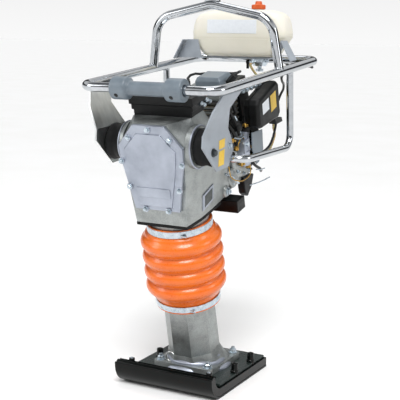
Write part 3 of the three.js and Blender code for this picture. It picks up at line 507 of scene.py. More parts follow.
def swept(path, radius, sides=24):
    """A round tube along a path, its section carried along without twist."""
    rings = []
    way = (path[1] - path[0]).normalized()
    side = way.orthogonal().normalized()
    for i, point in enumerate(path):
        before = path[max(i - 1, 0)]
        after = path[min(i + 1, len(path) - 1)]
        now = (after - before).normalized()
        side = (side - now * side.dot(now)).normalized()
        other = now.cross(side)
        angles = [2 * math.pi * k / sides for k in range(sides)]
        rings.append([point + (side * math.cos(a) + other * math.sin(a)) * radius for a in angles])
    return loft(rings)


def prism(outline, axis, low, high):
    """An outline given in the other two axes, made thick along one."""
    order = {"X": lambda a, b, h: (h, a, b), "Y": lambda a, b, h: (a, h, b)}[axis]
    return loft([[order(a, b, height) for a, b in outline] for height in (low, high)])


def eased(made, width, segments=3, angle=25):
    """Rounded edges, as a mould or a deburring tool leaves them."""
    bevel = made.modifiers.new("eased_edges", "BEVEL")
    bevel.width = width / 1000
    bevel.segments = segments
    bevel.limit_method = "ANGLE"
    bevel.angle_limit = math.radians(angle)
    bevel.use_clamp_overlap = True
    bevel.harden_normals = True
    return made


def skin(node, finish, width, body, segments=3, angle=25, name=None):
    """A CAD node's shape with its facets merged and its edges rounded, in place of the node."""
    build = bmesh.new()
    build.from_mesh(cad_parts[node].data)
    bmesh.ops.remove_doubles(build, verts=build.verts, dist=0.00002)
    bmesh.ops.dissolve_limit(build, angle_limit=math.radians(1.5), verts=build.verts, edges=build.edges)
    bmesh.ops.dissolve_degenerate(build, dist=0.00005, edges=build.edges)
    mesh = bpy.data.meshes.new(node)
    build.to_mesh(mesh)
    build.free()
    made = piece(name or node + "_skin", mesh, finish, body, (node,))
    return eased(made, width, segments, angle)


# ---- repeated hardware, made by Geometry Nodes ----
def new_tree(name, sizes):
    """A geometry tree with named inputs for its sizes and its material."""
    tree = bpy.data.node_groups.new(name, "GeometryNodeTree")
    tree.interface.new_socket("Seats", in_out="INPUT", socket_type="NodeSocketGeometry")
    for size, value in sizes.items():
        kind = "NodeSocketInt" if isinstance(value, int) else "NodeSocketFloat"
        tree.interface.new_socket(size, in_out="INPUT", socket_type=kind).default_value = value
    tree.interface.new_socket("Finish", in_out="INPUT", socket_type="NodeSocketMaterial")
    tree.interface.new_socket("Made", in_out="OUTPUT", socket_type="NodeSocketGeometry")
    given = add(tree, "NodeGroupInput").outputs
    return tree, given


def finish_tree(tree, given, geometry):
    real = add(tree, "GeometryNodeRealizeInstances", inputs={"Geometry": geometry})
    dressing = {"Geometry": real.outputs[0], "Material": given["Finish"]}
    coated = add(tree, "GeometryNodeSetMaterial", inputs=dressing)
    add(tree, "NodeGroupOutput", inputs={"Made": coated.outputs[0]})
    return tree


def hex_fastener_tree():
    """A washer, a chamfered six-sided head and a stud end on each seat, turned to its facing."""
    sizes = {
        "Head Radius": 8.0,
        "Head Height": 6.0,
        "Washer Radius": 10.0,
        "Washer Height": 1.5,
        "Stud Radius": 3.0,
        "Stud Height": 3.0,
        "Seed": 7,
    }
    tree, given = new_tree("hex_fasteners", sizes)
    washer, head, stud = given["Washer Height"], given["Head Height"], given["Stud Height"]
    below_crown = add(tree, "ShaderNodeMath", {"operation": "MULTIPLY"}, {0: head, 1: 0.8}).outputs[0]
    crown_height = add(tree, "ShaderNodeMath", {"operation": "MULTIPLY"}, {0: head, 1: 0.2}).outputs[0]
    crown_radius = add(tree, "ShaderNodeMath", {"operation": "MULTIPLY"}, {0: given["Head Radius"], 1: 0.84})
    top = add(tree, "ShaderNodeMath", {"operation": "ADD"}, {0: washer, 1: head}).outputs[0]
    across = given["Head Radius"]
    crown = {"Radius Top": crown_radius.outputs[0], "Radius Bottom": across, "Depth": crown_height}
    shapes = [
        ("Cylinder", {"Vertices": 16, "Radius": given["Stud Radius"], "Depth": stud}, stud, 0.4, top),
        ("Cone", {"Vertices": 6, **crown}, head, 0.8, washer),
        ("Cylinder", {"Vertices": 6, "Radius": across, "Depth": below_crown}, head, 0.4, washer),
        ("Cylinder", {"Vertices": 28, "Radius": given["Washer Radius"], "Depth": washer}, washer, 0.5, 0.0),
    ]
    whole = add(tree, "GeometryNodeJoinGeometry")
    for kind, inputs, size, share, floor in shapes:
        shape = add(tree, "GeometryNodeMesh" + kind, inputs=inputs).outputs["Mesh"]
        height = add(tree, "ShaderNodeMath", {"operation": "MULTIPLY_ADD"}, {0: size, 1: share, 2: floor})
        offset = add(tree, "ShaderNodeCombineXYZ", inputs={"Z": height.outputs[0]}).outputs[0]
        moved = add(tree, "GeometryNodeTransform", inputs={"Geometry": shape, "Translation": offset})
        tree.links.new(moved.outputs[0], whole.inputs[0])
    facing = add(tree, "GeometryNodeInputNamedAttribute", {"data_type": "FLOAT_VECTOR"}, {"Name": "facing"})
    way = {"Vector": facing.outputs["Attribute"]}
    turn = add(tree, "FunctionNodeAlignRotationToVector", {"axis": "Z"}, way).outputs[0]
    seating = {"Points": given["Seats"], "Instance": whole.outputs[0], "Rotation": turn}
    placed = add(tree, "GeometryNodeInstanceOnPoints", inputs=seating).outputs[0]
    sixth_of_a_turn = 1.05
    limits = {"Min": 0.0, "Max": sixth_of_a_turn, "Seed": given["Seed"]}
    spin = add(tree, "FunctionNodeRandomValue", {"data_type": "FLOAT"}, limits)
    spin_value = [s for s in spin.outputs if s.type == "VALUE"][0]
    euler = add(tree, "ShaderNodeCombineXYZ", inputs={"Z": spin_value}).outputs[0]
    spun = add(tree, "GeometryNodeRotateInstances", inputs={"Instances": placed, "Rotation": euler})
    return finish_tree(tree, given, spun.outputs[0])


def rib_ring_tree():
    """Upright ribs in a ring, such as the finger grips on a cap."""
    sizes = {"Count": 24, "Ring Radius": 20.0, "Rib Depth": 2.0, "Rib Width": 2.0, "Rib Height": 10.0}
    tree, given = new_tree("rib_ring", sizes)
    around = {"Vertices": given["Count"], "Radius": given["Ring Radius"]}
    circle = add(tree, "GeometryNodeMeshCircle", inputs=around).outputs[0]
    sides = {"X": given["Rib Depth"], "Y": given["Rib Width"], "Z": given["Rib Height"]}
    size = add(tree, "ShaderNodeCombineXYZ", inputs=sides).outputs[0]
    rib = add(tree, "GeometryNodeMeshCube", inputs={"Size": size}).outputs["Mesh"]
    outward = add(tree, "GeometryNodeInputPosition").outputs[0]
    turn = add(tree, "FunctionNodeAlignRotationToVector", {"axis": "X"}, {"Vector": outward}).outputs[0]
    seating = {"Points": circle, "Instance": rib, "Rotation": turn}
    return finish_tree(tree, given, add(tree, "GeometryNodeInstanceOnPoints", inputs=seating).outputs[0])


def fin_stack_tree():
    """A stack of thin cooling fins with rounded corners."""
    sizes = {"Count": 8, "Pitch": 10.0, "Width": 120.0, "Depth": 94.0, "Thickness": 3.0, "Corner": 12.0}
    tree, given = new_tree("fin_stack", sizes)
    step = add(tree, "ShaderNodeCombineXYZ", inputs={"Z": given["Pitch"]}).outputs[0]
    line = add(tree, "GeometryNodeMeshLine", inputs={"Count": given["Count"], "Offset": step}).outputs[0]
    sides = {"Width": given["Width"], "Height": given["Depth"]}
    sheet = add(tree, "GeometryNodeCurvePrimitiveQuadrilateral", inputs=sides).outputs[0]
    rounding = {"Curve": sheet, "Count": 6, "Radius": given["Corner"]}
    corners = add(tree, "GeometryNodeFilletCurve", {"mode": "POLY"}, rounding).outputs[0]
    flat = add(tree, "GeometryNodeFillCurve", {"mode": "NGONS"}, {"Curve": corners}).outputs[0]
    pull = {"Mesh": flat, "Offset Scale": given["Thickness"], "Individual": False}
    thick = add(tree, "GeometryNodeExtrudeMesh", inputs=pull).outputs[0]
    under = add(tree, "GeometryNodeFlipFaces", inputs={"Mesh": flat}).outputs[0]
    fin = add(tree, "GeometryNodeJoinGeometry")
    tree.links.new(thick, fin.inputs[0])
    tree.links.new(under, fin.inputs[0])
    closed = add(tree, "GeometryNodeMergeByDistance", inputs={"Geometry": fin.outputs[0]}).outputs[0]
    placed = add(tree, "GeometryNodeInstanceOnPoints", inputs={"Points": line, "Instance": closed}).outputs[0]
    return finish_tree(tree, given, placed)


HEX_FASTENERS = hex_fastener_tree()
RIB_RING = rib_ring_tree()
FIN_STACK = fin_stack_tree()


def grown(name, tree, seats, sizes, finish, body, place, smooth=30):
    """The tree's result as a plain mesh on a body. Seats are (point, facing) pairs in millimetres."""
    base = bpy.data.meshes.new(name)
    base.from_pydata([p for p, _ in seats], [], [])
    facing = base.attributes.new("facing", "FLOAT_VECTOR", "POINT")
    facing.data.foreach_set("vector", [c for _, f in seats for c in f])
    holder = bpy.data.objects.new(name + "_seats", base)
    bpy.context.scene.collection.objects.link(holder)
    modifier = holder.modifiers.new("grow", "NODES")
    modifier.node_group = tree
    identifiers = {s.name: s.identifier for s in tree.interface.items_tree if s.in_out == "INPUT"}
    for size, value in {**sizes, "Finish": finish}.items():
        modifier[identifiers[size]] = value
    graph = bpy.context.evaluated_depsgraph_get()
    mesh = bpy.data.meshes.new_from_object(holder.evaluated_get(graph))
    holder.modifiers.clear()
    bpy.data.objects.remove(holder)
    mesh.transform(place)
    return piece(name, mesh, finish, body, smooth=smooth)


def fasteners(name, seats, place, body, finish=None, slot="zinc", **sizes):
    named = {key.replace("_", " ").title(): value for key, value in sizes.items()}
    return grown(name, HEX_FASTENERS, seats, named, finish or ZINC, body, place)


FRONT = (0, -1, 0)
UP = (0, 0, 1)
RIGHT = (1, 0, 0)


# ---- foot ----
def dress_shoe():
    skin("wear_sole", GLOSS_BLACK, 1.6, "foot")
    skin("shoe_body", GLOSS_BLACK, 2.0, "foot")
    skin("shoe_top_plate", DARK_PLATE, 1.2, "foot")
    studs = []
    for x, y, low in ((130, 98, 27), (130, -4, 27), (-96, -14, 34), (-96, 98, 34)):
        side = [(11, low), (11, low + 12), (9.2, low + 14), (9.2, low + 32), (0.5, low + 35)]
        studs.append(turned(rounded(side, 2), "Z", (x, y, 0), 28))
    piece("shoe_studs", mesh_of(joined(*studs), GROUND), GLOSS_BLACK, "foot")
    sleeves, ends = [], []
    for x in (-110.4, 122.6):
        sleeve = rounded([(7.8, 38), (7.8, 72), (5.2, 72), (5.2, 70), (0.5, 70)], 1.2)
        sleeves.append(turned(sleeve, "Z", (x, -139, 0), 28))
        ends.append(turned(rounded([(4.8, 64), (4.8, 73.5), (0.5, 74.5)], 0.8), "Z", (x, -139, 0), 24))
    piece("lip_bolt_sleeves", mesh_of(joined(*sleeves), GROUND), ENGINE_BLACK, "foot")
    piece("lip_bolt_ends", mesh_of(joined(*ends), GROUND), ZINC, "foot")


def dress_leg():
    skin("leg_casting", CAST, 3.0, "foot", 4, 18)
    seats = [((s * 72, y, 49.4), UP) for y in (-50, 105) for s in (-1, 1)]
    sizes = {"head_radius": 9.8, "head_height": 9.0, "washer_radius": 13.0, "washer_height": 2.0}
    nuts = fasteners("leg_flange_nuts", seats, GROUND, "foot", **sizes, stud_radius=5.0, stud_height=6.0)
    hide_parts("leg_bolt_1", "leg_bolt_2", "leg_bolt_3", "leg_bolt_4")
    rings = [
        turned(rounded([(70, 30), (97, 30), (97, 38), (92, 44), (86, 46), (70, 46)], 2, 4), "Z", sides=72),
        turned(rounded([(66, 44), (84, 44), (84, 55), (78, 60), (66, 60)], 2.5, 4), "Z", sides=72),
        turned(rounded([(62, 58), (77, 58), (75.5, 68), (71, 74), (62, 76)], 2.5, 4), "Z", sides=72),
    ]
    for ring in rings:
        bmesh.ops.transform(ring, matrix=Matrix.Translation((0, 20, 0)), verts=ring.verts)
    piece("leg_base_rings", mesh_of(joined(*rings), GROUND), COVER, "foot", smooth=35)
    angles = [2 * math.pi * k / 16 for k in range(16)]
    eye = [Vector((-41 + 12 * math.cos(a), -52, 62 + 13 * math.sin(a))) for a in angles]
    piece("leg_lashing_ring", mesh_of(swept(eye, 3.2, 16), GROUND), STAINLESS, "foot")


def bellows_profile():
    """Four rolled bulges with tight folds between them, a shoulder at each end and a lipped cuff."""
    waves, steps = 4, 12
    low, high = 272, 439
    fold, crest = 91, 108
    pitch = (high - low) / waves
    cuff = [(82.5, 232), (86.5, 232.6), (87, 235.5), (84.2, 236.5), (84, 250)]
    profile = [*cuff, (84.6, 255), (90, 261), (93, 266)]
    for i in range(waves):
        for k in range(steps):
            share = (k + 0.5) / steps
            radius = fold + (crest - fold) * math.sin(math.pi * share) ** 0.55
            profile.append((radius, low + pitch * (i + share)))
    neck = [(94, 443), (91.5, 448), (85.5, 450), (84, 452)]
    return [*profile, *neck, (84, 468), (86.5, 469.3), (86, 471), (82.5, 471)]


def dress_bellows():
    outside = bellows_profile()
    inside = [(radius - 3.2, height) for radius, height in reversed(outside)]
    shape = turned(outside + inside, "Z", sides=128, loop=True)
    shape = mesh_of(shape, LEANING)
    made = piece("bellows_skin", shape, BELLOWS, None, ("bellows",), smooth=70)
    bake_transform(made)
    for node, height, half, body in (("lower_clamp", 244, 8, "foot"), ("upper_clamp", 460, 9, "machine")):
        low, high = height - half, height + half
        strip = rounded([(84.4, low), (87.6, low), (87.6, high), (84.4, high), (84.4, low)], 0.8)
        band = turned(strip, "Z", sides=96, loop=True)
        screw = turned(rounded([(0.2, -8), (3.8, -8), (3.8, 8), (0.2, 8)], 1), "X", (52, -74, height - 3), 20)
        piece(node + "_band", mesh_of(joined(band, screw), LEANING), ZINC, body, (node,))


def refinish(finish, *nodes):
    """CAD nodes that keep their shape and get a better material."""
    for node in nodes:
        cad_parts[node].data.materials.clear()
        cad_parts[node].data.materials.append(finish)


def dress_inside():
    refinish(STEEL, "spring_cylinder", "ram_piston", "piston_rod", "guide_cylinder", "connecting_rod")
    refinish(STEEL, "crank_gear", "clutch_drum", "crank_bearing", "pinion_bearing", "crankshaft_fan")
    refinish(SPRING, "lower_spring", "upper_spring")


# ---- gear case ----
MOUNT_AXIS = (0, -30, 686)
COVER_BOLTS = [(0, 747)]
COVER_BOLTS += [(59, 724), (86, 661), (71, 594), (33, 536)]
COVER_BOLTS += [(-33, 536), (-71, 594), (-86, 661), (-59, 724)]


def case_side(u):
    """How far the gear case's sloping side stands from the middle at a height."""
    return 82 + 18 * (u - 492) / 148


def dress_gear_case():
    skin("gear_case", CAST, 4.0, "machine", 4, 18)
    skin("front_cover", COVER, 2.0, "machine", 3, 18)
    skin("base_gasket", RUBBER, 1.0, "machine")
    pad = rounded([(8.5, -99), (8.5, -101.6), (0.2, -101.6)], 1)
    bosses = joined(*[turned(pad, "Y", (x, 0, u), 32) for x, u in COVER_BOLTS])
    piece("cover_bolt_bosses", mesh_of(bosses, LEANING), COVER, "machine")
    seats = [((x, -101.5, u), FRONT) for x, u in COVER_BOLTS]
    sizes = {"head_radius": 5.6, "head_height": 5.0, "washer_radius": 7.2, "washer_height": 1.2}
    fasteners("cover_bolts", seats, LEANING, "machine", **sizes, stud_radius=2.4, stud_height=0.8)
    plaque = prism([(-49, 571), (46, 571), (46, 596), (-49, 596)], "Y", -105, -102.5)
    eased(piece("cover_blank_plaque", mesh_of(plaque, LEANING), COVER, "machine"), 0.8)
    for name, finish, edge, outline, heights in (
        ("case_blank_badge", COVER, 1.2, [(-21, 508), (36, 518), (36, 562), (-21, 552)], (-2, 3)),
        ("case_badge_panel", DARK_PLATE, 0.6, [(-13, 515), (29, 523), (29, 555), (-13, 547)], (2, 3.4)),
    ):
        badge = loft([[(case_side(u) + height, v, u) for v, u in outline] for height in heights])
        eased(piece(name, mesh_of(badge, LEANING), finish, "machine"), edge)
    boss = turned(rounded([(0.2, 74), (16, 74), (16, 90), (12.5, 94), (0.2, 94)], 2), "X", (0, 108, 512), 40)
    piece("drain_boss", mesh_of(boss, LEANING), CAST, "machine")
    fasteners("drain_plug", [((94, 108, 512), RIGHT)], LEANING, "machine", head_radius=8.5, washer_radius=10.5)
    rim = rounded([(50, 100), (56, 100), (55.5, 103), (54, 104), (50, 104), (50, 100)], 1)
    rings = [turned([(r, side * x) for r, x in rim], "X", MOUNT_AXIS, 72, loop=True) for side in (-1, 1)]
    piece("mount_boss_rims", mesh_of(joined(*rings), LEANING), COVER, "machine", smooth=40)


def dress_mounts():
    inner = [(0.2, 104.3), (45.5, 104.3), (47.5, 110), (43.5, 126)]
    profile = rounded([*inner, (47.5, 142), (45, 147.6), (0.2, 147.6)], 4, 6)
    for side, name in ((-1, "left_mount"), (1, "right_mount")):
        shape = turned([(r, side * x) for r, x in profile], "X", MOUNT_AXIS, 72)
        piece(name + "_rubber", mesh_of(shape, LEANING), RUBBER, "machine", (name,), smooth=50)


# ---- engine ----
def dress_engine():
    skin("engine_block", CAST, 1.5, "machine", 2)
    skin("rocker_cover", GREY, 2.5, "machine")
    skin("engine_support", ENGINE_BLACK, 2.5, "machine")
    skin("air_baffle", ABS, 2.5, "machine")
    skin("fan_shroud", ENGINE_BLACK, 2.0, "machine")
    skin("recoil_housing", ENGINE_BLACK, 2.5, "machine")
    skin("muffler", MUFFLER_STEEL, 3.0, "machine")
    skin("muffler_guard", ZINC, 0.8, "machine", 2)
    skin("carburettor", COVER, 1.2, "machine", 2)
    skin("choke_lever", ZINC, 0.4, "choke", 2)
    grown(
        "cylinder_fins", FIN_STACK, [((0, 0, 0), UP)],
        {"Count": 9, "Pitch": 10.2, "Width": 122.0, "Depth": 96.0, "Thickness": 2.6, "Corner": 14.0},
        MUFFLER_STEEL, "machine", LEANING @ Matrix.Translation((10, 215, 650)),
    )
    seats = [((x, v, 790), UP) for x, v in ((2, 184), (56, 184), (56, 236), (2, 236))]
    fasteners("rocker_bolts", seats, LEANING, "machine", head_radius=4.6, head_height=4.0, washer_radius=5.6)
    sides = [((78, v, u), RIGHT) for v, u in ((160, 512), (160, 634), (276, 512), (276, 634), (215, 520))]
    fasteners("block_bolts", sides, LEANING, "machine", head_radius=5.6, head_height=5.0, washer_radius=7.0)


def dress_starter():
    """The grip and its cord, which lies short in the housing."""
    skin("starter_grip", ABS, 1.5, "starter_grip")
    way = Vector((-30, 0, 104)).normalized()
    eyelet = Vector((0, 355, 575)) + way * 74
    knot = eyelet + way * 12
    cord = swept([eyelet.lerp(knot, k / 48) for k in range(49)], 2.2, 12)
    rope = piece("starter_rope", mesh_of(cord, LEANING), NYLON, None, smooth=60)
    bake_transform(rope)
    skin("starter_pulley", ABS, 1.0, "starter_pulley", 2)


def wire(points, radius, sides=12, steps=6):
    return swept(smooth_path(points, steps), radius, sides)


def union(x, v, u, axis, size):
    """A small hose union: a collar, a waist and a nut face."""
    profile = [(0.2, -8), (4.5, -8), (4.5, -3), (6.5, -3), (6.5, 2), (3.6, 3), (3.6, 8), (0.2, 8)]
    return turned(rounded([(r * size, h * size) for r, h in profile], 0.8, 2), axis, (x, v, u), 20)


def dress_engine_fittings():
    """Levers, unions, rods and hoses round the carburettor, above the support and below the cleaner."""
    bright = [
        wire([(86, 200, 690), (92, 202, 672), (93, 206, 648), (93, 217, 618), (93, 236, 590)], 4.2, 16),
        wire([(104, 268, 515), (108, 285, 508), (112, 305, 505)], 1.6),
        wire([(94, 238, 478), (108, 280, 474), (116, 325, 471)], 1.8),
        wire([(90, 110, 560), (97, 128, 548), (99, 150, 528), (96, 170, 512)], 3.2),
        wire([(88, 70, 640), (96, 96, 652), (98, 130, 648), (94, 160, 636)], 2.2),
        wire([(97, 170, 640), (102, 190, 632), (103, 214, 634)], 2.4),
    ]
    bright += [union(99, 238 + 26 * i, 748 - 3 * i, "Y", 1.0) for i in range(5)]
    bright += [union(88, 24 + 15 * i, 780 - 8 * (i % 2), "Y", 0.9) for i in range(4)]
    piece("engine_bright_fittings", mesh_of(joined(*bright), LEANING), ZINC, "machine", smooth=40)
    pipe_end = [(103, 118, 548), (102, 110, 582)]
    gold = [
        wire([(104, 232, 545), (106, 226, 520), (105, 196, 514), (104, 160, 522), *pipe_end], 1.5),
        wire([(100, 170, 606), (102, 180, 622), (101, 200, 630), (100, 218, 622)], 1.6),
    ]
    for v, u, axis, size in (
        (166, 612, "Y", 1.1), (205, 596, "X", 1.2), (249, 584, "X", 1.2), (291, 565, "Y", 1.0),
        (232, 655, "X", 1.0), (190, 560, "X", 1.1), (226, 540, "Y", 1.0), (150, 640, "X", 1.0),
    ):
        gold.append(union(101, v, u, axis, size))
    piece("engine_brass_fittings", mesh_of(joined(*gold), LEANING), BRASS, "machine", smooth=40)
    flat = [(234, 634), (300, 622), (296, 566), (262, 540), (246, 540), (228, 590)]
    bracket = prism(flat, "X", 114.5, 117.5)
    eased(piece("cleaner_bracket", mesh_of(bracket, LEANING), GREY, "machine"), 0.8, 2)
    tab = prism([(362, 634), (412, 622), (416, 608), (374, 612)], "X", 104, 128)
    eased(piece("cleaner_tab", mesh_of(tab, LEANING), ABS, "machine"), 1.5, 2)
    dark = [
        wire([(60, 50, 792), (84, 84, 796), (96, 130, 776), (98, 168, 742), (96, 190, 706)], 5.5, 16),
        wire([(70, 60, 770), (92, 96, 760), (97, 140, 730), (96, 176, 690), (98, 196, 640)], 4.2, 16),
        wire([(84, 130, 700), (92, 150, 680), (94, 172, 650), (92, 186, 610)], 5.0, 16),
        wire([(98, 236, 560), (104, 262, 530), (100, 300, 505), (88, 330, 486)], 4.0, 16),
        turned(rounded([(0.2, -16), (15, -16), (15, 14), (9, 18), (0.2, 18)], 3), "X", (88, 196, 664), 32),
        turned(rounded([(0.2, -12), (12, -12), (12, 10), (6, 14), (0.2, 14)], 2), "X", (88, 150, 596), 32),
    ]
    piece("engine_dark_hoses", mesh_of(joined(*dark), LEANING), ENGINE_BLACK, "machine", smooth=40)
    side_cover = [(0.2, 70), (47, 70), (47, 84), (40, 90), (24, 92), (0.2, 92)]
    crank_side = [
        turned(rounded(side_cover, 4), "X", (0, 214, 560), 56),
        turned(rounded([(0.2, 70), (30, 70), (30, 82), (26, 86), (0.2, 86)], 3), "X", (0, 168, 528), 48),
    ]
    piece("crankcase_side_cover", mesh_of(joined(*crank_side), LEANING), CAST, "machine", smooth=40)
    angles = [0.4 + 1.1 * k for k in range(6)]
    seats = [((90, 214 + 38 * math.cos(a), 560 + 38 * math.sin(a)), RIGHT) for a in angles]
    fasteners("crankcase_bolts", seats, LEANING, "machine", head_radius=4.4, head_height=4.0, washer_radius=5.4)
    base = prism([(222, 506), (288, 494), (270, 464), (240, 444), (226, 458)], "X", 64, 86)
    eased(piece("engine_foot", mesh_of(base, LEANING), ENGINE_BLACK, "machine"), 3)


def dress_air_cleaner():
    skin("air_cleaner_case", ABS, 6.0, "machine", 4, 18)
    skin("air_cleaner_cover", ABS, 7.0, "machine", 5, 18)


def dress_hoses():
    refinish(SHEATH, "plug_lead")
    for node, finish, slot, path, low, high in (
        ("fuel_hose", VINYL, "hose_plastic", FUEL_HOSE, (98, 420, 566), (46, 409, 766)),
        ("throttle_cable", SHEATH, "rubber", THROTTLE_CABLE, (116, 388, 596), (150, 390, 725)),
    ):
        shape = swept(smooth_path(path, 8), 3.4, 16)
        made = piece(node + "_run", mesh_of(shape, LEANING), finish, None, (node,), smooth=60)
        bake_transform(made)


FUEL_HOSE = [
    (45, 411, 777), (46, 409, 766), (62, 414, 738), (92, 424, 706), (104, 424, 660), (102, 416, 620),
    (98, 415, 590), (98, 420, 566), (98, 400, 546), (106, 352, 541), (107, 300, 552), (104, 244, 566),
    (100, 229, 568),
]
THROTTLE_CABLE = [
    (27, 553, 772), (42, 561, 767), (60, 566, 753), (84, 560, 738), (108, 546, 733), (145, 545, 733),
    (170, 538, 735), (184, 521, 738), (176, 491, 752), (174, 444, 763), (173, 400, 768), (169, 366, 766),
    (163, 352, 757), (157, 366, 741), (150, 390, 725), (142, 403, 706), (131, 405, 688), (121, 399, 660),
    (117, 394, 630), (116, 388, 596), (116, 340, 560), (114, 270, 562), (106, 240, 584), (104, 227, 588),
]


# ---- handle ----
HOOP_ALONG = 329
ROLLER_AXIS = (0, -32, 0)
CAP_AXIS = (42, 284, 0)


def plated(name, shape, *nodes):
    """A chromium-plated piece of the handle."""
    piece(name, mesh_of(shape, HANDLE), CHROME, "handle", nodes, smooth=60)


def dress_tubes():
    half, front, length, bend, radius = 191.3, -32, 602.8, 42, 12.05
    corners = [(half, front, 0), (half, length, 0), (-half, length, 0), (-half, front, 0)]
    path = bent_path([(0, front, 0), *corners, (0, front, 0)], bend, 12)[:-1]
    plated("handle_tube", loft(loop_rings(path, radius, 40), loop=True), "handle_loop")

    corners = [(-half, 6), (-170.6, 139.2), (0, 175.5), (170.6, 139.2), (half, 6)]
    hoop = bent_path([(x, HOOP_ALONG, n) for x, n in corners], 62, 12)
    plated("hoop_tube", swept(hoop, radius, 40), "lifting_hoop")
    skin("lifting_eye", CHROME, 0.8, "handle", 2)
    for side, name in ((-1, "left_guard"), (1, "right_guard")):
        corners = [(152.3, 112, -190), (half, 112, -190), (half, 396, -214), (half, 399, -6)]
        path = bent_path([(side * x, s, n) for x, s, n in corners], 36, 12)
        plated(name + "_tube", swept(path, 9.5, 32), name)
    feet = ((HOOP_ALONG, 12.2, 12.8), (398.7, -12.2, 9.8))
    plated("tube_welds", joined(*[weld((side * half, s, n), r) for side in (-1, 1) for s, n, r in feet]))


def loop_rings(path, radius, sides):
    """Round sections on a closed flat path."""
    above = Vector(UP)
    angles = [2 * math.pi * k / sides for k in range(sides)]
    rings = []
    for i, point in enumerate(path):
        before, after = path[i - 1], path[(i + 1) % len(path)]
        side = (after - before).normalized().cross(above).normalized()
        rings.append([point + (side * math.cos(a) + above * math.sin(a)) * radius for a in angles])
    return rings


def weld(at, radius):
    """A rippled weld bead round the foot of a tube."""
    count, flattening = 48, 0.74
    around = [math.pi * k / 4 for k in range(8)]
    bead = []
    for k in range(count):
        angle = 2 * math.pi * k / count
        from_foot = Vector((flattening * radius * math.cos(angle), (radius + 0.6) * math.sin(angle), 0))
        out = from_foot.normalized()
        size = 1.8 + 0.3 * math.cos(6 * math.pi * k / 4)
        ring = [(out * math.cos(a) + Vector(UP) * math.sin(a)) * size for a in around]
        bead.append([Vector(at) + from_foot + p for p in ring])
    return loft(bead, loop=True)


def dress_side_plates():
    skin("left_side_plate", STAINLESS, 1.0, "handle", 2, 40)
    skin("right_side_plate", PLATE, 1.0, "handle", 2, 40)
    for side, hand in ((-1, "left"), (1, "right")):
        outside = side * 152.2
        seats = [((outside, -57, 684), (side, 0, 0))]
        sizes = {"head_radius": 8.0, "head_height": 7.0, "washer_radius": 11.0, "washer_height": 2.0}
        sizes.update(stud_radius=4.0, stud_height=1.0)
        fasteners("mount_bolt_" + hand, seats, LEANING, "handle", SPRING, "dark_steel", **sizes)
        seats = [((outside, 29, 673), (side, 0, 0))]
        sizes = {"head_radius": 5.5, "head_height": 5.0, "washer_radius": 8.0, "washer_height": 1.5}
        fasteners("plate_bolt_" + hand, seats, LEANING, "handle", **sizes, stud_radius=2.5, stud_height=1.0)


def dress_labels():
    """Blank stickers where the machine carries notices."""
    plate = ("handle", "plate_paint", 152.3, 152.8)
    cleaner = ("machine", "black_plastic", 140.8, 141.5)
    for name, finish, (body, slot, inside, outside), outline in (
        ("plate_sticker_upper", YELLOW_LABEL, plate, [(-22, 702), (10, 699), (3, 678), (-27, 681)]),
        ("plate_sticker_lower", YELLOW_LABEL, plate, [(-28, 676), (2, 673), (-10, 637), (-40, 641)]),
        ("cleaner_white_sticker", WHITE_LABEL, cleaner, [(262, 707), (304, 712), (304, 680), (262, 676)]),
        ("cleaner_yellow_sticker", YELLOW_LABEL, cleaner, [(316, 713), (352, 718), (352, 672), (316, 667)]),
    ):
        shape = mesh_of(prism(outline, "X", inside, outside), LEANING)
        eased(piece(name, shape, finish, body), 0.2, 2)


def dress_roller():
    """The loading roller, with two black discs in each flange that stand for sunk screws and paint the shade of
    their holes.
    """
    bore, neck, shoulder, flange = 13.1, 17.5, 24, 28.3
    left = [(bore, -90), (flange, -90), (flange, -50), (shoulder, -46), (neck, -43)]
    right = [(neck, 57), (shoulder, 60), (flange, 64), (flange, 107), (bore, 107), (bore, -90)]
    shape = turned(rounded([*left, *right], 3.5, 5), "X", ROLLER_AXIS, 72, loop=True)
    piece("roller_body", mesh_of(shape, HANDLE), GREY, "roller", ("loading_roller",), smooth=50)
    holes = []
    for x in (-71, 82):
        for angle in (-0.55, 2.6):
            out = Vector((0, -math.cos(angle), math.sin(angle)))
            middle = Vector(ROLLER_AXIS) + Vector((x, 0, 0)) + out * flange
            cup = turned([(0.1, -1.5), (5.4, -1.5), (5.4, -0.05), (5.0, 0.15), (0.1, 0.15)], "Z", sides=24)
            facing = out.to_track_quat("Z", "X").to_matrix().to_4x4()
            bmesh.ops.transform(cup, matrix=Matrix.Translation(middle) @ facing, verts=cup.verts)
            holes.append(cup)
    # a flat black disc, 0.15 mm proud of the flange, stands for each sunk screw and paints the shade in its hole
    piece("roller_hole_shade_discs", mesh_of(joined(*holes), HANDLE), ENGINE_BLACK, "roller")


def rounded_rectangle(x0, x1, y0, y1, radius, z, steps=10):
    """A level ring of points with rounded corners."""
    corners = [(x1 - radius, y1 - radius, 0), (x0 + radius, y1 - radius, 90), (x0 + radius, y0 + radius, 180)]
    points = []
    for cx, cy, first in [*corners, (x1 - radius, y0 + radius, 270)]:
        for k in range(steps + 1):
            angle = math.radians(first + 90 * k / steps)
            points.append(Vector((cx + radius * math.cos(angle), cy + radius * math.sin(angle), z)))
    return points


